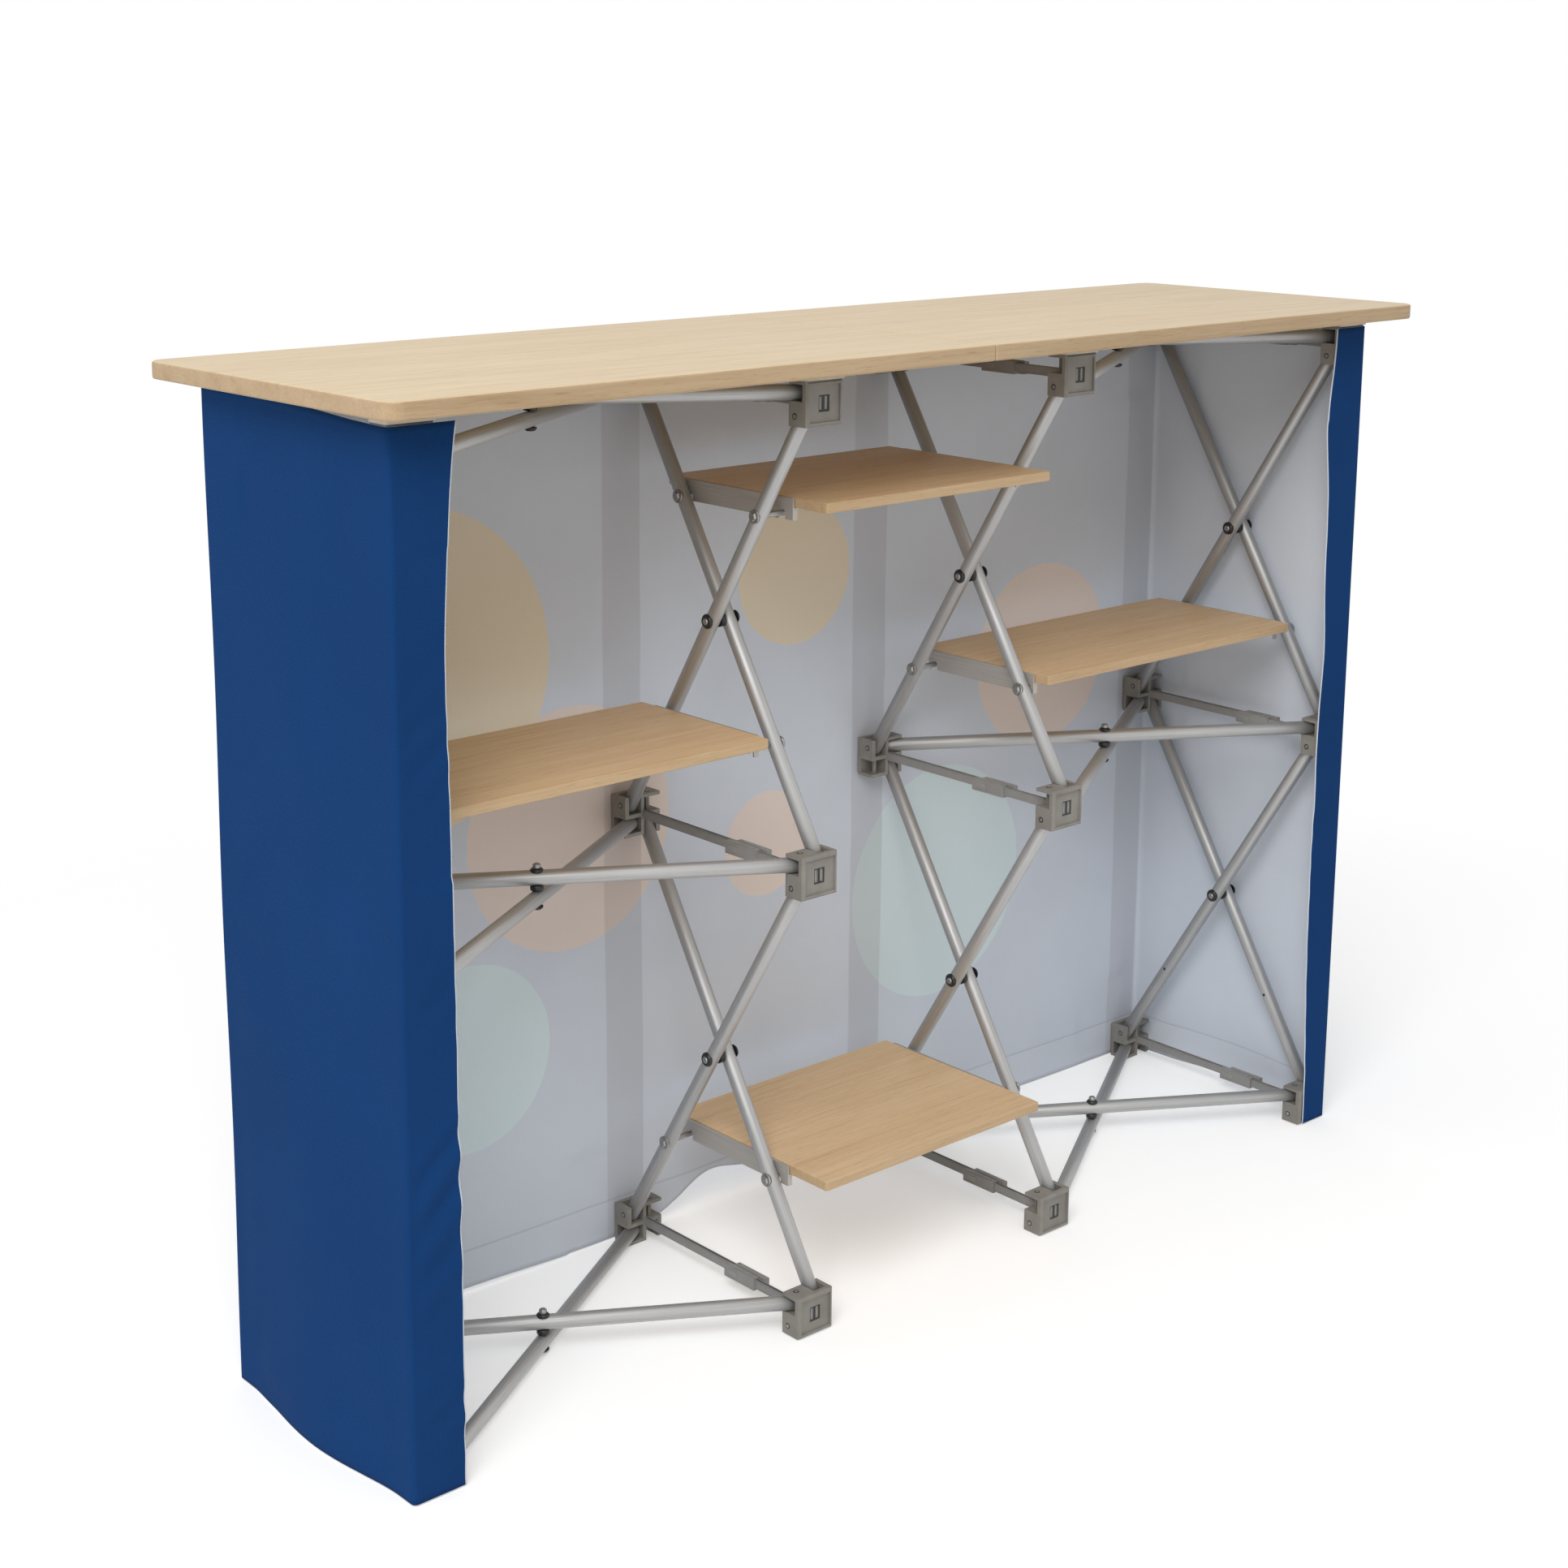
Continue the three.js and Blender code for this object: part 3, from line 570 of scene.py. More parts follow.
def rounded_outline(x0, x1, y0, y1, radius_low, radius_high, steps=10):
    """A rectangle with one corner radius at its low X end and one at its high X end."""
    points = []
    corners = (
        (x1, y0, -90, radius_high), (x1, y1, 0, radius_high),
        (x0, y1, 90, radius_low), (x0, y0, 180, radius_low),
    )
    for x, y, start, radius in corners:
        if radius == 0:
            points.append((x, y))
            continue
        centre_x = x - math.copysign(radius, x - (x0 + x1) / 2)
        centre_y = y - math.copysign(radius, y - (y0 + y1) / 2)
        for step in range(steps + 1):
            angle = math.radians(start + 90 * step / steps)
            points.append((centre_x + radius * math.cos(angle), centre_y + radius * math.sin(angle)))
    return points


# Tubes: local Z runs along the tube from its first pivot, local X along its pivots
def tube_blank(length):
    bm = bmesh.new()
    first, last = -TUBE_TAIL, length + TUBE_TAIL
    inner = TUBE_RADIUS - TUBE_EDGE
    profile = (
        (first, inner), (first + TUBE_EDGE, TUBE_RADIUS), (last - TUBE_EDGE, TUBE_RADIUS), (last, inner),
    )
    put_lathe(bm, Vector(), Z_DIRECTION, profile, TUBE_STEPS, TUBE)
    return bm


def put_turned(bm, along_z, x0, x1, diameter, material, steps=TURNED_STEPS, dome=0.0):
    """A short turned piece across the tube, from x0 to x1, with a softened rim at x1."""
    radius = diameter / 2
    length = abs(x1 - x0)
    rim = min(TURNED_RIM, length / 3)
    direction = X_DIRECTION if x1 > x0 else -X_DIRECTION
    below, inwards = DOME_SHOULDER
    profile = (
        (0.0, radius), (length - rim - dome, radius),
        (length - dome * below, radius - rim - dome * inwards), (length, radius - rim - dome),
    )
    put_lathe(bm, Vector((x0, 0, along_z)), direction, profile, steps, material)


def put_middle_bolt(bm, length, side, tip, washer):
    """Bolt through both tubes of a pair; side is where the partner lies, tip how far its end stands out."""
    middle = length / 2
    seat = TUBE_RADIUS - WASHER_SEAT
    partner = side * (2 * TUBE_OFFSET - TUBE_RADIUS - WASHER_GAP)
    far = side * (2 * TUBE_OFFSET + TUBE_RADIUS + WASHER_GAP)
    put_turned(bm, middle, -side * seat, -side * (TUBE_RADIUS + WASHER_HEIGHT), washer, BLACK,
               dome=WASHER_DOME)
    put_turned(bm, middle, -side * TUBE_RADIUS, -side * (TUBE_RADIUS + tip), BOLT_TIP_DIAMETER, STEEL,
               dome=BOLT_DOME)
    put_turned(bm, middle, side * seat, partner, washer, BLACK)
    put_turned(bm, middle, 0.0, far, MIDDLE_BOLT_DIAMETER, STEEL)
    put_turned(bm, middle, far, far + side * NUT_HEIGHT, FAR_WASHER_SHARE * washer, BLACK, dome=WASHER_DOME)


def put_shelf_bolt(bm, along, tube_x, side):
    """A bolt that stands out through a bracket's notch, with a washer and a nut behind the tube."""
    end = side * (BRACKET_FROM_LADDER + BRACKET_WALL + BOLT_STUB) - tube_x
    seat = -side * (TUBE_RADIUS - SHELF_WASHER_SEAT)
    face = -side * (TUBE_RADIUS + SHELF_WASHER_HEIGHT)
    nut = -side * (TUBE_RADIUS + NUT_HEIGHT)
    put_turned(bm, along, 0.0, end, BOLT_DIAMETER, STEEL)
    put_turned(bm, along, seat, face, SHELF_WASHER, STEEL)
    put_turned(bm, along, face, nut, NUT_ACROSS, STEEL, NUT_SIDES, NUT_DOME)


def put_spare_hole(bm, along):
    """The mouths of a bolt hole that no shelf uses, filled with black discs of painted shade."""
    for side in (-1, 1):
        put_turned(bm, along, side * (TUBE_RADIUS - HOLE_SINK), side * TUBE_RADIUS, HOLE_DIAMETER, BLACK)


def add_tube(node, bm, start, end, pivot_axis):
    along = (end - start).normalized()
    across = along.cross(pivot_axis).normalized()
    turn = Matrix((pivot_axis, across, along)).transposed()
    matrix = Matrix.Translation(start) @ turn.to_4x4()
    finish_piece(f"{node}_metal", bm, ("tube", "steel", "black"), node, True, matrix)


shelf_spans = (
    ("shelf_upper_middle", "a", "b"), ("shelf_lower_middle", "a", "b"),
    ("shelf_left", "l", "a"), ("shelf_right", "b", "c"),
)
shelf_z = {span[0]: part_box(span[0])[1].z - SHELF_THICKNESS for span in shelf_spans}
# Column, side of the ladder that the shelf lies on, height of the bolt
shelf_bolts = [
    (column, side, shelf_z[node] - BOLT_BELOW_SHELF)
    for node, left, right in shelf_spans for column, side in ((left, 1), (right, -1))
]
spare_hole_z = shelf_z["shelf_lower_middle"] - BOLT_BELOW_SHELF


def add_ladders():
    for column in columns:
        for level, name in enumerate(("lower", "upper")):
            low = level_z[level] + PIN_REACH
            high = level_z[level + 1] - PIN_REACH
            length = math.hypot(high - low, 2 * pivot_y)
            for direction in ("rising", "falling"):
                rising = direction == "rising"
                tube_x = TUBE_OFFSET if rising else -TUBE_OFFSET
                near_z, far_z = (low, high) if rising else (high, low)
                bm = tube_blank(length)
                if not rising:
                    put_middle_bolt(bm, length, 1, NUT_HEIGHT, LADDER_WASHER)
                for bolt_column, side, bolt_z in shelf_bolts:
                    if bolt_column == column and low < bolt_z < high:
                        put_shelf_bolt(bm, length * (bolt_z - near_z) / (far_z - near_z), tube_x, side)
                if column in ("l", "c") and low < spare_hole_z < high:
                    put_spare_hole(bm, length * (spare_hole_z - near_z) / (far_z - near_z))
                x = column_x[column] + tube_x
                start, end = Vector((x, -pivot_y, near_z)), Vector((x, pivot_y, far_z))
                add_tube(f"ladder_{column}_{name}_{direction}", bm, start, end, X_DIRECTION)


def add_braces():
    for name, left, right in (("left", "l", "a"), ("right", "b", "c")):
        x0 = column_x[left] + PIN_REACH
        x1 = column_x[right] - PIN_REACH
        length = math.hypot(x1 - x0, 2 * pivot_y)
        for level, z in zip(levels, level_z):
            bm = tube_blank(length)
            put_middle_bolt(bm, length, -1, BRACE_BOLT_TIP, BRACE_WASHER)
            upper = z + TUBE_OFFSET
            add_tube(f"brace_{name}_{level}_upper", bm,
                     Vector((x1, -pivot_y, upper)), Vector((x0, pivot_y, upper)), Z_DIRECTION)
            lower = z - TUBE_OFFSET
            add_tube(f"brace_{name}_{level}_lower", tube_blank(length),
                     Vector((x0, -pivot_y, lower)), Vector((x1, pivot_y, lower)), Z_DIRECTION)


# Hubs keep their solids, with softened edges; windows, pin ends and the trim of the struts are added.
# Local Y runs from the outer face inwards, on the far hubs after half a turn about X.
def put_window(bm):
    """A dark frame in the shallow pocket of the outer face, round two paler panes."""
    pane_y = -HUB_HALF.y + WINDOW_FLOOR
    pocket = pane_y - WINDOW_PANE_DEPTH
    y0, y1 = pocket - WINDOW_RISE, pocket + WINDOW_SINK
    inner_x, outer_x = WINDOW_BAR / 2, WINDOW_BAR / 2 + WINDOW_WIDTH
    half_z = WINDOW_HEIGHT / 2
    side_x, side_z = outer_x + WINDOW_BORDER, half_z + WINDOW_BORDER
    pane_z = half_z - PANE_GAP
    put_box(bm, (-inner_x, y0, -half_z), (inner_x, y1, half_z), BLACK)
    for edge in (-1, 1):
        x0, x1 = sorted((edge * outer_x, edge * side_x))
        put_box(bm, (x0, y0, -side_z), (x1, y1, side_z), BLACK)
        z0, z1 = sorted((edge * half_z, edge * side_z))
        put_box(bm, (-outer_x, y0, z0), (outer_x, y1, z1), BLACK)
        x0, x1 = sorted((edge * (inner_x + PANE_GAP), edge * (outer_x - PANE_GAP)))
        put_box(bm, (x0, pane_y - PANE_RISE, -pane_z), (x1, pane_y + WINDOW_SINK, pane_z), STRUT)


def put_strut(bm, reach, side, up):
    """Rims and a groove along the top of an arm, with painted shade in the groove, a bead at its foot, and a
    clip's plate, lug and bead.
    """
    def put(xs, ys, zs, material):
        x0, x1 = sorted(side * x for x in xs)
        z0, z1 = sorted(up * z for z in zs)
        put_box(bm, (x0, ys[0], z0), (x1, ys[1], z1), material)
    inner, outer = ARM_GAP, ARM_GAP + ARM_WIDTH
    top = ARM_HEIGHT / 2
    clip_start = reach - CLIP_LENGTH
    arm_ys = (HUB_HALF.y + ARM_START, clip_start)
    rim_zs = (top - TRIM_SINK, top + ARM_RIM_RISE)
    put((inner, inner + ARM_RIM), arm_ys, rim_zs, STRUT)
    put((outer - ARM_RIM, outer), arm_ys, rim_zs, STRUT)
    # The groove's black strip is painted shade
    put((inner + ARM_RIM, outer - ARM_RIM), arm_ys, (top - TRIM_SINK, top + ARM_GROOVE_RISE), BLACK)
    put((outer - TRIM_SINK, outer + ARM_BEAD_RISE), arm_ys, (-top, -top + ARM_BEAD_HEIGHT), STRUT)
    clip_outer, clip_top = ARM_GAP + CLIP_WIDTH, CLIP_HEIGHT / 2
    clip_face = clip_outer - TRIM_SINK
    put((inner + CLIP_PLATE_INSET, clip_outer - CLIP_PLATE_INSET),
        (clip_start + CLIP_PLATE_END, reach - CLIP_PLATE_END),
        (clip_top - TRIM_SINK, clip_top + CLIP_PLATE_RISE), STRUT)
    put((clip_face, clip_outer + CLIP_PLATE_RISE),
        (reach - CLIP_PLATE_END - CLIP_LUG_LENGTH, reach - CLIP_PLATE_END),
        (-CLIP_LUG_HALF, CLIP_LUG_HALF), STRUT)
    put((clip_face, clip_outer + CLIP_BEAD_RISE),
        (clip_start + CLIP_BEAD_END, reach - CLIP_BEAD_END),
        [height - clip_top for height in CLIP_BEAD], STRUT)


def add_hub_details():
    pin_y = HUB_HALF.y - PIN_INSET
    pins = (
        (Vector((-PIN_REACH, pin_y, HUB_HALF.z)), Z_DIRECTION),
        (Vector((PIN_REACH, pin_y, -HUB_HALF.z)), -Z_DIRECTION),
        (Vector((HUB_HALF.x, pin_y, PIN_REACH)), X_DIRECTION),
        (Vector((-HUB_HALF.x, pin_y, -PIN_REACH)), -X_DIRECTION),
    )
    for (side, column, level), centre in hubs.items():
        node = f"hub_{side}_{column}_{level}"
        hub = nodes[node]
        hub.data.materials.clear()
        hub.data.materials.append(look["hub"])
        add_bevel(hub, HUB_SOFTENING)
        flip = 1 if side == "near" else -1
        bm = bmesh.new()
        for place, out in pins:
            outermost = (level, out.z * flip) in (("top", 1), ("bottom", -1))
            if not outermost:
                put_lathe(bm, place, out, PIN_SEAT, PIN_STEPS, BLACK)
                put_lathe(bm, place, out, PIN_HEAD, PIN_STEPS, STEEL)
        put_window(bm)
        low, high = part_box(node)
        reach = high.y - centre.y if side == "near" else centre.y - low.y
        put_strut(bm, reach, -flip, flip)
        matrix = Matrix.Translation(centre)
        if side == "far":
            matrix = matrix @ Matrix.Rotation(math.pi, 4, "X")
        finish_piece(f"{node}_fittings", bm, ("strut", "steel", "black"), node,
                     matrix=matrix, soften=FITTING_SOFTENING)


# Boards
def add_counter():
    for name, radii, ends in (("left", (TOP_CORNER, 0), ("l", "a")), ("right", (0, TOP_CORNER), ("b", "c"))):
        node = f"counter_{name}"
        low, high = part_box(node)
        under = high.z - TOP_THICKNESS
        bm = bmesh.new()
        outline = rounded_outline(low.x, high.x, low.y, high.y, *radii)
        put_slab(bm, outline, under, high.z, Z_INDEX, BOARD, EDGE)
        finish_piece(f"{node}_board", bm, ("top", "edge"), node, True,
                     soften=TOP_SOFTENING, segments=TOP_SOFTENING_STEPS)
        bm = bmesh.new()
        for column in ends:
            x = column_x[column]
            for y, (pad_x, pad_y) in ((-hub_y, NEAR_PAD), (hub_y, FAR_PAD)):
                outline = rounded_outline(x - pad_x / 2, x + pad_x / 2, y - pad_y / 2, y + pad_y / 2,
                                          PAD_CORNER, PAD_CORNER, PAD_CORNER_STEPS)
                put_slab(bm, outline, low.z, under, Z_INDEX, ONLY)
        finish_piece(f"{node}_pads", bm, ("pad",), node, soften=PAD_SOFTENING)


def put_bracket(bm, ladder_x, side, z, bolt_y, length):
    """Angle under a shelf end: a notched leg, a flange under the board and turned ends."""
    leg = ladder_x - side * BRACKET_FROM_LADDER
    inner = leg - side * BRACKET_WALL
    half = length / 2
    notch_top = z - BOLT_BELOW_SHELF + BOLT_DIAMETER / 2 + NOTCH_CLEARANCE
    corner_z = notch_top - NOTCH_CORNER
    bottom, top = z - BRACKET_DROP, z + BRACKET_LIP
    outline = [(-half, bottom)]
    for y in (-bolt_y, bolt_y):
        outline.append((y - NOTCH_WIDTH / 2, bottom))
        for edge, start in ((-1, 180), (1, 90)):
            corner_y = y + edge * (NOTCH_WIDTH / 2 - NOTCH_CORNER)
            for step in range(NOTCH_STEPS + 1):
                angle = math.radians(start - 90 * step / NOTCH_STEPS)
                outline.append((corner_y + NOTCH_CORNER * math.cos(angle),
                                corner_z + NOTCH_CORNER * math.sin(angle)))
        outline.append((y + NOTCH_WIDTH / 2, bottom))
    outline += [(half, bottom), (half, top), (-half, top)]
    put_slab(bm, outline, min(leg, inner), max(leg, inner), X_INDEX, ONLY)
    x0, x1 = sorted((inner, leg - side * BRACKET_FLANGE))
    put_box(bm, (x0, -half, z - BRACKET_WALL), (x1, half, z), ONLY)
    x0, x1 = sorted((inner, leg - side * BRACKET_TAB))
    for end in (-1, 1):
        y0, y1 = sorted((end * half, end * (half - BRACKET_WALL)))
        put_box(bm, (x0, y0, bottom), (x1, y1, z - BRACKET_WALL), ONLY)


def add_shelves():
    slope = (level_z[1] - level_z[0] - 2 * PIN_REACH) / (2 * pivot_y)
    end_gap = BRACKET_FROM_LADDER + BRACKET_WALL + SHELF_END_GAP
    for node, left, right in shelf_spans:
        low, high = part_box(node)
        z = shelf_z[node]
        bm = bmesh.new()
        outline = rounded_outline(column_x[left] + end_gap, column_x[right] - end_gap, low.y, high.y,
                                  SHELF_CORNER, SHELF_CORNER, SHELF_CORNER_STEPS)
        put_slab(bm, outline, z, high.z, Z_INDEX, BOARD, EDGE)
        finish_piece(f"{node}_board", bm, ("shelf", "shelf_edge"), node, True,
                     soften=SHELF_SOFTENING)
        level = 1 if z > level_z[1] else 0
        middle = (level_z[level] + level_z[level + 1]) / 2
        bolt_y = abs(z - BOLT_BELOW_SHELF - middle) / slope
        length = MIDDLE_BRACKET_LENGTH if left == "a" else SIDE_BRACKET_LENGTH
        bm = bmesh.new()
        put_bracket(bm, column_x[left], -1, z, bolt_y, length)
        put_bracket(bm, column_x[right], 1, z, bolt_y, length)
        finish_piece(f"{node}_brackets", bm, ("bracket",), node, soften=BRACKET_SOFTENING)


# Fabric skirt: one sheet from return to return, modelled with its thickness
FABRIC_THICKNESS = 0.0010
FABRIC_HUB_GAP = 0.0005
FABRIC_CORNER = 0.004
CORNER_SHARES = (0.25, 0.6, 1.0)
SKIRT_STEP = 0.0075
SKIRT_RETURN_STEPS = 14
SKIRT_ROWS = 150
SKIRT_EDGE = 0.0011
STATION_DIGITS = 6
STATION_TOLERANCE = 1e-9
SKIRT_TOP_DROP = 0.0015
SKIRT_TOP_RISE = 0.0075
SKIRT_TOP_RISE_END = 0.4
FLOOR_GAP = 0.0012
# The hem and the free edges of the returns: tables of bells hold centre, width and height
HEM_RISES = ((-0.070, 0.055, 0.031), (0.02, 0.08, 0.022), (-0.40, 0.12, 0.004))
LEFT_RETURN = 0.0545
LEFT_RETURN_WAVES = ((0.75, 0.08, -0.0035),)
LEFT_FLARE = 0.0125
LEFT_FLARE_FADE = 0.07
RIGHT_RETURN = 0.0525
RIGHT_RETURN_WAVES = ((0.85, 0.06, 0.009), (0.58, 0.06, -0.005))
RIGHT_TAPER = 0.011
RIGHT_TAPER_HEIGHT = 0.30
# The height at which the flat length of a return is taken
RETURN_LENGTH_HEIGHT = 0.5
# The cloth gives between the hubs that hold it
GIVE_RANGE = (0.02, 0.35)
HELD_LIMIT = 0.3
HELD_DIP = -0.0002
FREE_DIP = -0.004
FAR_SWELL = 0.0045
FAR_SWELL_LEAST = 0.35
END_SWELL = 0.0030
FOOT_SWELL = 0.012
FOOT_FADE = 0.16
# Noise in the cloth: its height, and its scales across the sheet and upwards
SWAY_HEIGHT = 0.0030
SWAY_ACROSS = 3.1
SWAY_UP = 1.6
SWAY_START = Vector((3.7, 1.3, 0.4))
RIPPLE_HEIGHT = 0.0014
RIPPLE_ACROSS = 11.0
RIPPLE_UP = 7.0
RIPPLE_LEAN_X = 5.0
RIPPLE_LEAN_Y = 4.0
DRIFT_ACROSS = 9.0
DRIFT_UP = 6.0
DRIFT_SLICE = 2.1
PATCH_ACROSS = 12.0
PATCH_UP = 11.0
PATCH_SLICE = 7.7
CORNER_PULL = 0.0012
CORNER_PULL_REACH = 0.035
CORNER_FADE = 0.045
RETURN_CORNER_FADE = 0.018
CREASE_HEIGHT = 0.0022
CREASE_COUNT = 6
CREASE_HUB_TURN = 1.7
CREASE_LEVEL_TURN = 9.0
CREASE_START = 0.03
CREASE_FULL = 0.07
CREASE_END = 0.30
CREASE_FADE = 0.09
WRINKLE_HEIGHT = 0.0021
WRINKLE_PITCH = 0.044
WRINKLE_SLANT = 0.80
WRINKLE_DRIFT = 0.030
WRINKLE_LIFT = 0.4
WRINKLE_ZONES = ((0.30, 0.13, 1.0), (0.07, 0.05, 0.7), (0.72, 0.12, 0.35))
WRINKLE_PATCH = (-0.45, 0.25)
RIGHT_WRINKLE_SHARE = 0.2

skirt_x = column_x["c"] + HUB_HALF.x + FABRIC_HUB_GAP
skirt_y = hub_y + HUB_HALF.y + FABRIC_HUB_GAP
skirt_top = hub_top - SKIRT_TOP_DROP
hold_x = [column_x[c] for c in columns]
hold_y = (-hub_y, hub_y)
skirt_parts = (("near", -1), ("end", -1), ("far", 0), ("end", 1), ("near", 1))


def bells(value, table):
    return sum(height * math.exp(-(((value - centre) / width) ** 2)) for centre, width, height in table)


def smooth(value, low, high):
    share = min(1.0, max(0.0, (value - low) / (high - low)))
    return share * share * (3 - 2 * share)


def slack(value, supports):
    """None at a support, most halfway between two."""
    for first, second in zip(supports, supports[1:]):
        if first <= value <= second:
            return math.sin(math.pi * (value - first) / (second - first)) ** 2
    return 0.0


def near_return(side, z):
    """How far the sheet turns in along the near side, at a height."""
    if side < 0:
        flare = LEFT_FLARE * math.exp(-(skirt_top - z) / LEFT_FLARE_FADE)
        return LEFT_RETURN + flare + bells(z, LEFT_RETURN_WAVES)
    taper = RIGHT_TAPER * smooth(RIGHT_TAPER_HEIGHT - z, 0.0, RIGHT_TAPER_HEIGHT)
    return RIGHT_RETURN + bells(z, RIGHT_RETURN_WAVES) - taper


def hem_height(position):
    """The hem hangs just over the floor; on the far side it is raised, most between the two frames."""
    rise = bells(position.x, HEM_RISES) if position.y > hub_y else 0.0
    return FLOOR_GAP + rise


def top_height(position):
    """The top edge is level with the near hubs and rises to the board at the far side."""
    return skirt_top + SKIRT_TOP_RISE * smooth(position.y, -skirt_y, SKIRT_TOP_RISE_END * skirt_y)


def skirt_point(s, row, spans):
    """A point of the path and its outward direction: s runs from the left return to the right one."""
    index = max(i for i, start in enumerate(spans[:-1]) if s >= start - STATION_TOLERANCE)
    share = (s - spans[index]) / (spans[index + 1] - spans[index])
    part, side = skirt_parts[index]
    if part == "near":
        width = near_return(side, skirt_top * row / SKIRT_ROWS)
        run = 1 - share if side < 0 else share
        return Vector((side * (skirt_x - width * run), -skirt_y)), Vector((0, -1)), part
    if part == "end":
        run = share if side < 0 else 1 - share
        return Vector((side * skirt_x, -skirt_y + 2 * skirt_y * run)), Vector((side, 0)), part
    return Vector((-skirt_x + 2 * skirt_x * share, skirt_y)), Vector((0, 1)), part


def skirt_corner(position):
    """Rounds the corner of the path and gives the outward direction there."""
    dx = abs(position.x) - (skirt_x - FABRIC_CORNER)
    dy = abs(position.y) - (skirt_y - FABRIC_CORNER)
    if dx <= 0 or dy <= 0:
        return position, None
    angle = math.atan2(dy, dx)
    out = Vector((math.copysign(math.cos(angle), position.x), math.copysign(math.sin(angle), position.y)))
    centre = Vector((math.copysign(skirt_x - FABRIC_CORNER, position.x),
                     math.copysign(skirt_y - FABRIC_CORNER, position.y)))
    return centre + out * FABRIC_CORNER, out


def hub_creases(along, z, holds):
    """Creases that fan out from the places where the hubs hold the sheet."""
    height = 0.0
    for number, hold in enumerate(holds):
        for level in level_z:
            across, up = along - hold, z - level
            away = math.hypot(across, up)
            if CREASE_START < away < CREASE_END:
                turn = CREASE_HUB_TURN * number + CREASE_LEVEL_TURN * level
                fan = math.cos(CREASE_COUNT * math.atan2(up, across) + turn)
                height += fan * smooth(away, CREASE_START, CREASE_FULL) * math.exp(-away / CREASE_FADE)
    return height


def return_wrinkles(x, z):
    """Slanted wrinkles where a return hangs loose between the hubs; the right one hangs smoother."""
    drift = noise.noise(Vector((x * DRIFT_ACROSS, DRIFT_SLICE, z * DRIFT_UP)))
    fold = math.sin(2 * math.pi * (z + WRINKLE_SLANT * abs(x) + WRINKLE_DRIFT * drift) / WRINKLE_PITCH)
    patchy = noise.noise(Vector((x * PATCH_ACROSS, PATCH_SLICE, z * PATCH_UP)))
    height = WRINKLE_HEIGHT if x < 0 else RIGHT_WRINKLE_SHARE * WRINKLE_HEIGHT
    return height * bells(z, WRINKLE_ZONES) * smooth(patchy, *WRINKLE_PATCH) * (WRINKLE_LIFT + fold)


def skirt_shift(position, z, part):
    """How far the cloth stands out from the hubs' faces: positive is outwards."""
    x, y = position
    along, holds = (x, hold_x) if part == "far" else (y, hold_y)
    across = slack(along, holds)
    loose = slack(z, level_z)
    free = max(across, loose)
    sway = noise.noise(Vector((x * SWAY_ACROSS, y * SWAY_ACROSS, z * SWAY_UP)) + SWAY_START)
    leaning = (x * RIPPLE_ACROSS + z * RIPPLE_LEAN_X, y * RIPPLE_ACROSS - z * RIPPLE_LEAN_Y)
    ripple = noise.noise(Vector((*leaning, z * RIPPLE_UP)))
    if part == "far":
        swell = FAR_SWELL * across * (FAR_SWELL_LEAST + (1 - FAR_SWELL_LEAST) * loose)
    else:
        swell = across * (END_SWELL * loose + FOOT_SWELL * math.exp(-z / FOOT_FADE))
    swell += CREASE_HEIGHT * hub_creases(along, z, holds)
    if part == "near":
        swell += return_wrinkles(x, z)
    shift = swell + smooth(free, *GIVE_RANGE) * (SWAY_HEIGHT * sway + RIPPLE_HEIGHT * ripple)
    from_corner = skirt_y - abs(y) if part == "end" else skirt_x - abs(x)
    fade = RETURN_CORNER_FADE if part == "near" else CORNER_FADE
    shift *= smooth(from_corner, FABRIC_CORNER, fade)
    return max(shift, HELD_DIP if free < HELD_LIMIT else FREE_DIP)


def corner_pull(position, z):
    """Between the levels the sheet pulls in at its far corners."""
    if position.y <= 0:
        return Vector((0.0, 0.0))
    from_corner = skirt_x - abs(position.x) + skirt_y - abs(position.y)
    pull = CORNER_PULL * math.exp(-from_corner / CORNER_PULL_REACH) * slack(z, level_z)
    return Vector((-math.copysign(pull, position.x), -pull))


def skirt_stations(lengths, spans):
    """Where the columns of points lie along the sheet: closer at the corners and at the free edges."""
    stations = [SKIRT_EDGE, spans[-1] - SKIRT_EDGE, spans[-1]]
    for start, length in zip(spans, lengths):
        steps = max(SKIRT_RETURN_STEPS, round(length / SKIRT_STEP))
        stations += [start + length * step / steps for step in range(steps)]
    for corner in spans[1:-1]:
        for share in CORNER_SHARES:
            stations += [corner - FABRIC_CORNER * share, corner + FABRIC_CORNER * share]
    return sorted(set(round(s, STATION_DIGITS) for s in stations))


def skirt_strips(bm, s, spans):
    """One column of points on the inner face and one on the outer face."""
    strips = ([], [])
    for row in range(SKIRT_ROWS + 1):
        position, out, part = skirt_point(s, row, spans)
        hem = hem_height(position)
        z = hem + (top_height(position) - hem) * row / SKIRT_ROWS
        rounded, corner_out = skirt_corner(position)
        shift = 0.0 if corner_out else skirt_shift(position, z, part)
        inner = rounded + corner_pull(rounded, z)
        for layer, strip in enumerate(strips):
            place = inner + (corner_out or out) * (shift + FABRIC_THICKNESS * layer)
            strip.append(bm.verts.new((place.x, place.y, z)))
    return strips


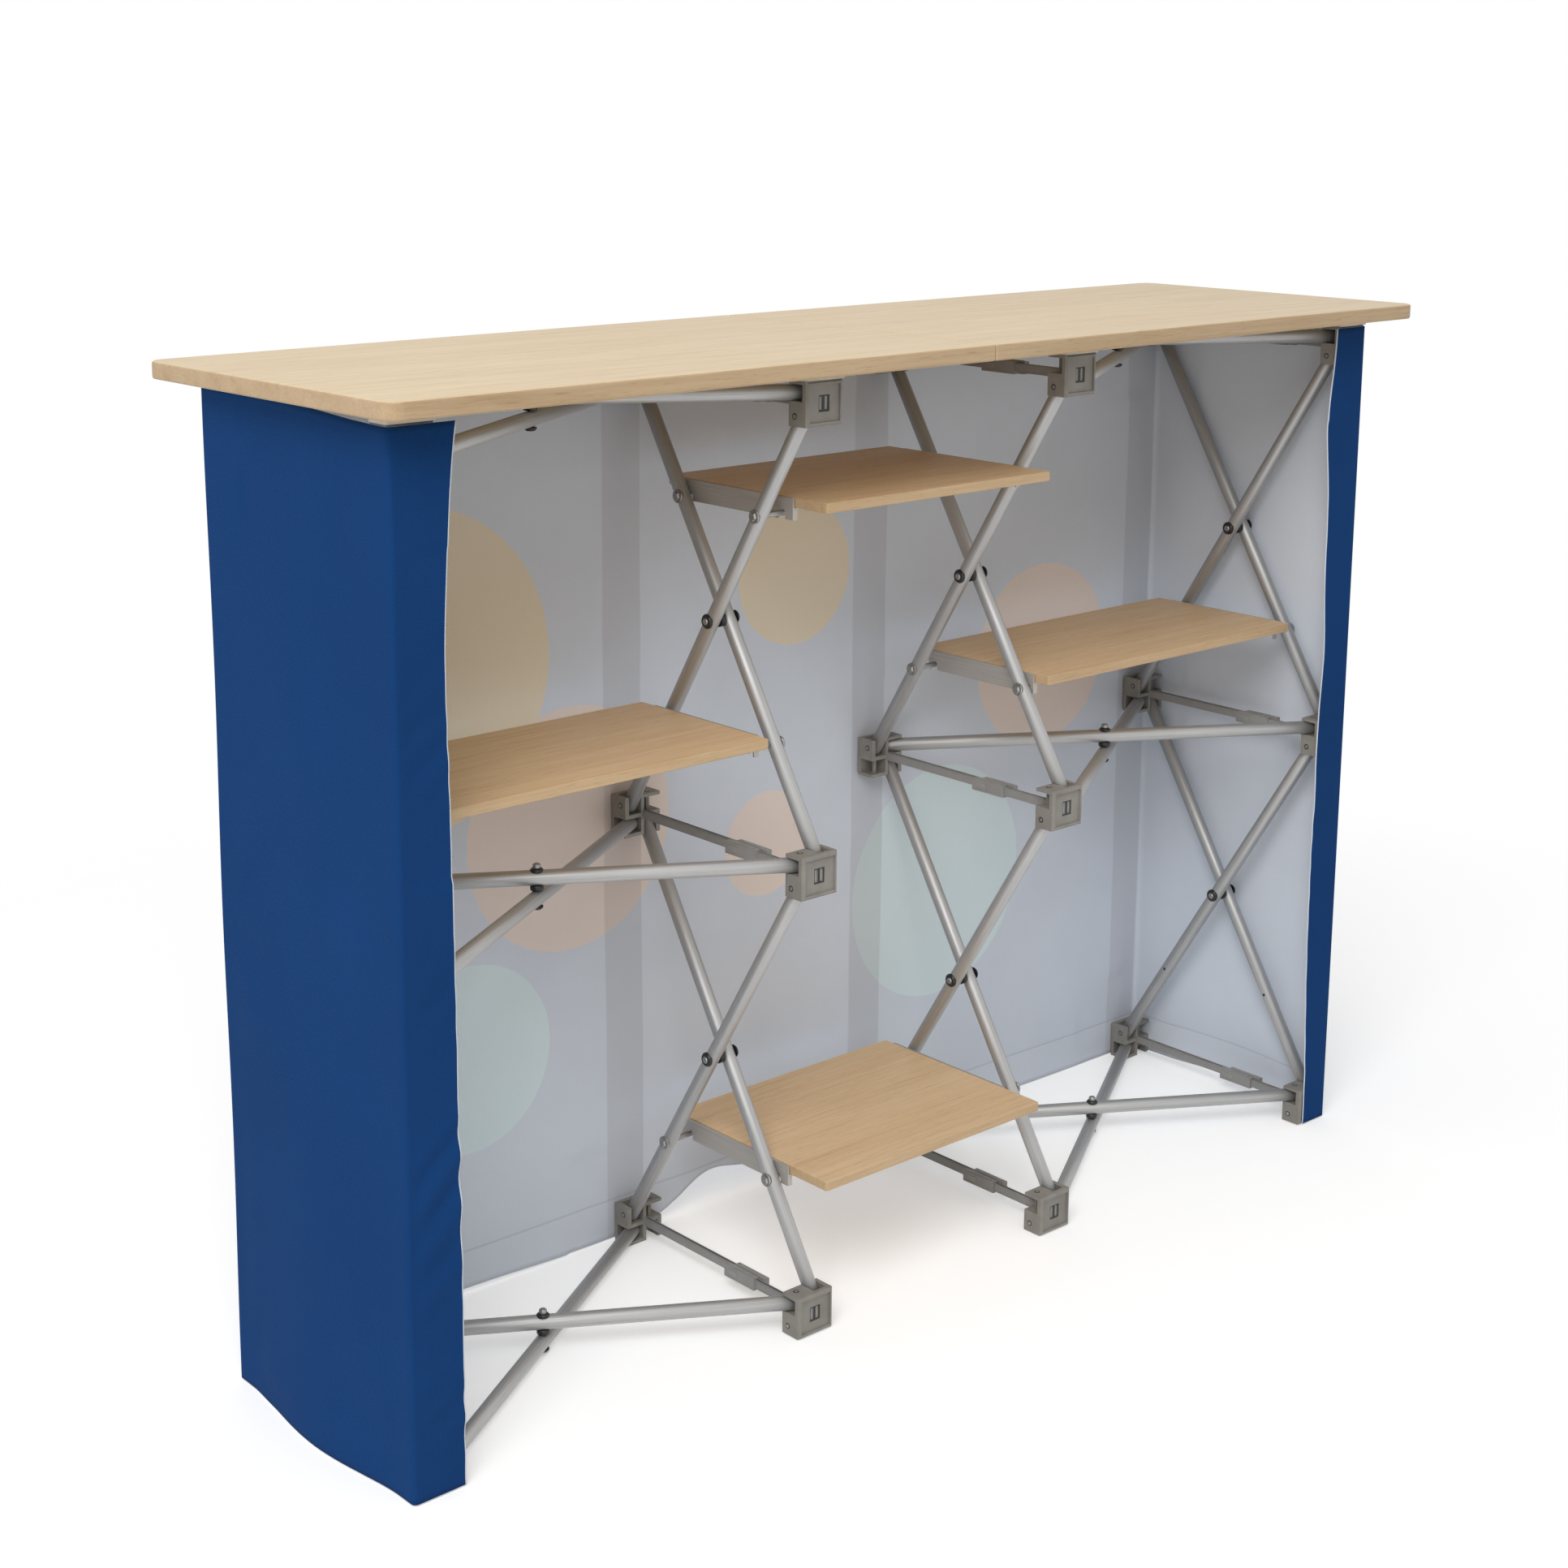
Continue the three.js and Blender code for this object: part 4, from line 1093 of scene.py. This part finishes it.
def add_skirt():
    left_return = near_return(-1, RETURN_LENGTH_HEIGHT)
    right_return = near_return(1, RETURN_LENGTH_HEIGHT)
    lengths = (left_return, 2 * skirt_y, 2 * skirt_x, 2 * skirt_y, right_return)
    spans = [0.0]
    for length in lengths:
        spans.append(spans[-1] + length)
    stations = skirt_stations(lengths, spans)
    bm = bmesh.new()
    uv = bm.loops.layers.uv.new("cloth")
    inner, outer = zip(*(skirt_strips(bm, s, spans) for s in stations))

    def cloth_place(column, row):
        return stations[column], skirt_top * row / SKIRT_ROWS

    def put_face(verts, material, places):
        face = bm.faces.new(verts)
        face.material_index = material
        face.smooth = True
        for loop, place in zip(face.loops, places):
            loop[uv].uv = place

    last = len(stations) - 1
    for column in range(last):
        cut_edge = column in (0, last - 1)
        for row in range(SKIRT_ROWS):
            square = [(column, row), (column + 1, row), (column + 1, row + 1), (column, row + 1)]
            put_face([inner[i][j] for i, j in square], INSIDE, [cloth_place(i, j) for i, j in square])
            square.reverse()
            put_face([outer[i][j] for i, j in square], INSIDE if cut_edge else OUTSIDE,
                     [cloth_place(i, j) for i, j in square])
    rim = [(column, 0) for column in range(last)]
    rim += [(last, row) for row in range(SKIRT_ROWS)]
    rim += [(column, SKIRT_ROWS) for column in range(last, 0, -1)]
    rim += [(0, row) for row in range(SKIRT_ROWS, 0, -1)]
    for (i, j), (next_i, next_j) in zip(rim, rim[1:] + rim[:1]):
        verts = (inner[next_i][next_j], inner[i][j], outer[i][j], outer[next_i][next_j])
        put_face(verts, INSIDE, [cloth_place(i, j)] * len(verts))
    bmesh.ops.recalc_face_normals(bm, faces=bm.faces)
    skirt = finish_piece("fabric_skirt_cloth", bm, ("outside", "inside"), "fabric_skirt",
                         True)


# Floor, light and camera
FLOOR_RADIUS = 6.0
FLOOR_STEPS = 96
FLOOR_DROP = 0.0008
FLOOR_FADE = (0.9, 1.9)
FLOOR_TONE = (0.93, 0.93, 0.93)
FLOOR_LIFT = 0.30
WORLD_STRENGTH = 0.555
AIM = (0.0, 0.0, 0.5)
IMAGE_SIZE = 1932
FOCAL_PIXELS = 3114.7
CENTRE_PIXELS = (903.03, 749.92)
SENSOR = 36.0
CAMERA_PLACE = (-1.7613, -1.8468, 1.2292)
CAMERA_TURN = (1.362958, -0.002474, -0.713575)


def seen_directly(tree):
    """1 for the rays that show the background: to the camera, mirrored or through glass."""
    path = add(tree, "ShaderNodeLightPath")
    seen = math_node(tree, "MAXIMUM", path.outputs["Is Camera Ray"], path.outputs["Is Glossy Ray"])
    return math_node(tree, "MAXIMUM", seen, path.outputs["Is Transmission Ray"])


def add_floor():
    """A pale floor that fades out to the background and keeps a soft shadow."""
    bpy.ops.mesh.primitive_circle_add(
        vertices=FLOOR_STEPS, radius=FLOOR_RADIUS, fill_type="NGON", location=(0, 0, -FLOOR_DROP))
    floor = bpy.context.object
    floor.name = "floor"
    material, tree, shader = new_material("floor_look")
    feed(tree, shader.inputs["Base Color"], FLOOR_TONE)
    feed(tree, shader.inputs["Roughness"], 0.9)
    feed(tree, shader.inputs["Specular IOR Level"], 0.0)
    away = add(tree, "ShaderNodeVectorMath", operation="LENGTH")
    tree.links.new(coordinates(tree), away.inputs[0])
    clear = add(tree, "ShaderNodeBsdfTransparent")
    glow = add(tree, "ShaderNodeEmission")
    tree.links.new(math_node(tree, "MULTIPLY", seen_directly(tree), FLOOR_LIFT), glow.inputs["Strength"])
    lifted = add(tree, "ShaderNodeAddShader")
    tree.links.new(shader.outputs["BSDF"], lifted.inputs[0])
    tree.links.new(glow.outputs["Emission"], lifted.inputs[1])
    blend = add(tree, "ShaderNodeMixShader")
    tree.links.new(map_range(tree, away.outputs["Value"], *FLOOR_FADE), blend.inputs["Fac"])
    tree.links.new(lifted.outputs["Shader"], blend.inputs[1])
    tree.links.new(clear.outputs["BSDF"], blend.inputs[2])
    tree.links.new(blend.outputs["Shader"], tree.nodes["Material Output"].inputs["Surface"])
    floor.data.materials.append(material)


def add_world():
    """Soft light from all round, in front of a plain white background."""
    world = bpy.data.worlds.new("studio")
    bpy.context.scene.world = world
    world.use_nodes = True
    tree = world.node_tree
    background = tree.nodes["Background"]
    feed(tree, background.inputs["Color"], WHITE)
    strength = map_range(tree, seen_directly(tree), 0.0, 1.0, to_low=WORLD_STRENGTH, to_high=1.0)
    tree.links.new(strength, background.inputs["Strength"])


def add_lamp(name, place, aim, size, power):
    data = bpy.data.lights.new(name, "AREA")
    data.shape = "DISK"
    data.size = size
    data.energy = power
    lamp = bpy.data.objects.new(name, data)
    bpy.context.scene.collection.objects.link(lamp)
    lamp.location = place
    lamp.rotation_mode = "QUATERNION"
    lamp.rotation_quaternion = (Vector(aim) - Vector(place)).to_track_quat("-Z", "Y")


def add_camera():
    data = bpy.data.cameras.new("camera")
    data.sensor_width = SENSOR
    data.lens = SENSOR * FOCAL_PIXELS / IMAGE_SIZE
    data.shift_x = (IMAGE_SIZE / 2 - CENTRE_PIXELS[0]) / IMAGE_SIZE
    data.shift_y = -(IMAGE_SIZE / 2 - CENTRE_PIXELS[1]) / IMAGE_SIZE
    camera = bpy.data.objects.new("camera", data)
    bpy.context.scene.collection.objects.link(camera)
    camera.location = CAMERA_PLACE
    camera.rotation_euler = Euler(CAMERA_TURN, "XYZ")
    bpy.context.scene.camera = camera


add_ladders()
add_braces()
add_hub_details()
add_counter()
add_shelves()
add_skirt()
add_floor()
add_world()
add_lamp("overhead", (-0.4, -0.5, 3.4), AIM, size=2.6, power=5.0)
add_lamp("key", (-2.55, -1.95, 3.3), AIM, size=2.4, power=88.0)
add_lamp("end_fill", (-3.4, 0.35, 0.55), (-0.6, 0.0, 0.5), size=0.9, power=9.5)
add_camera()
bpy.context.scene.view_settings.view_transform = "Standard"
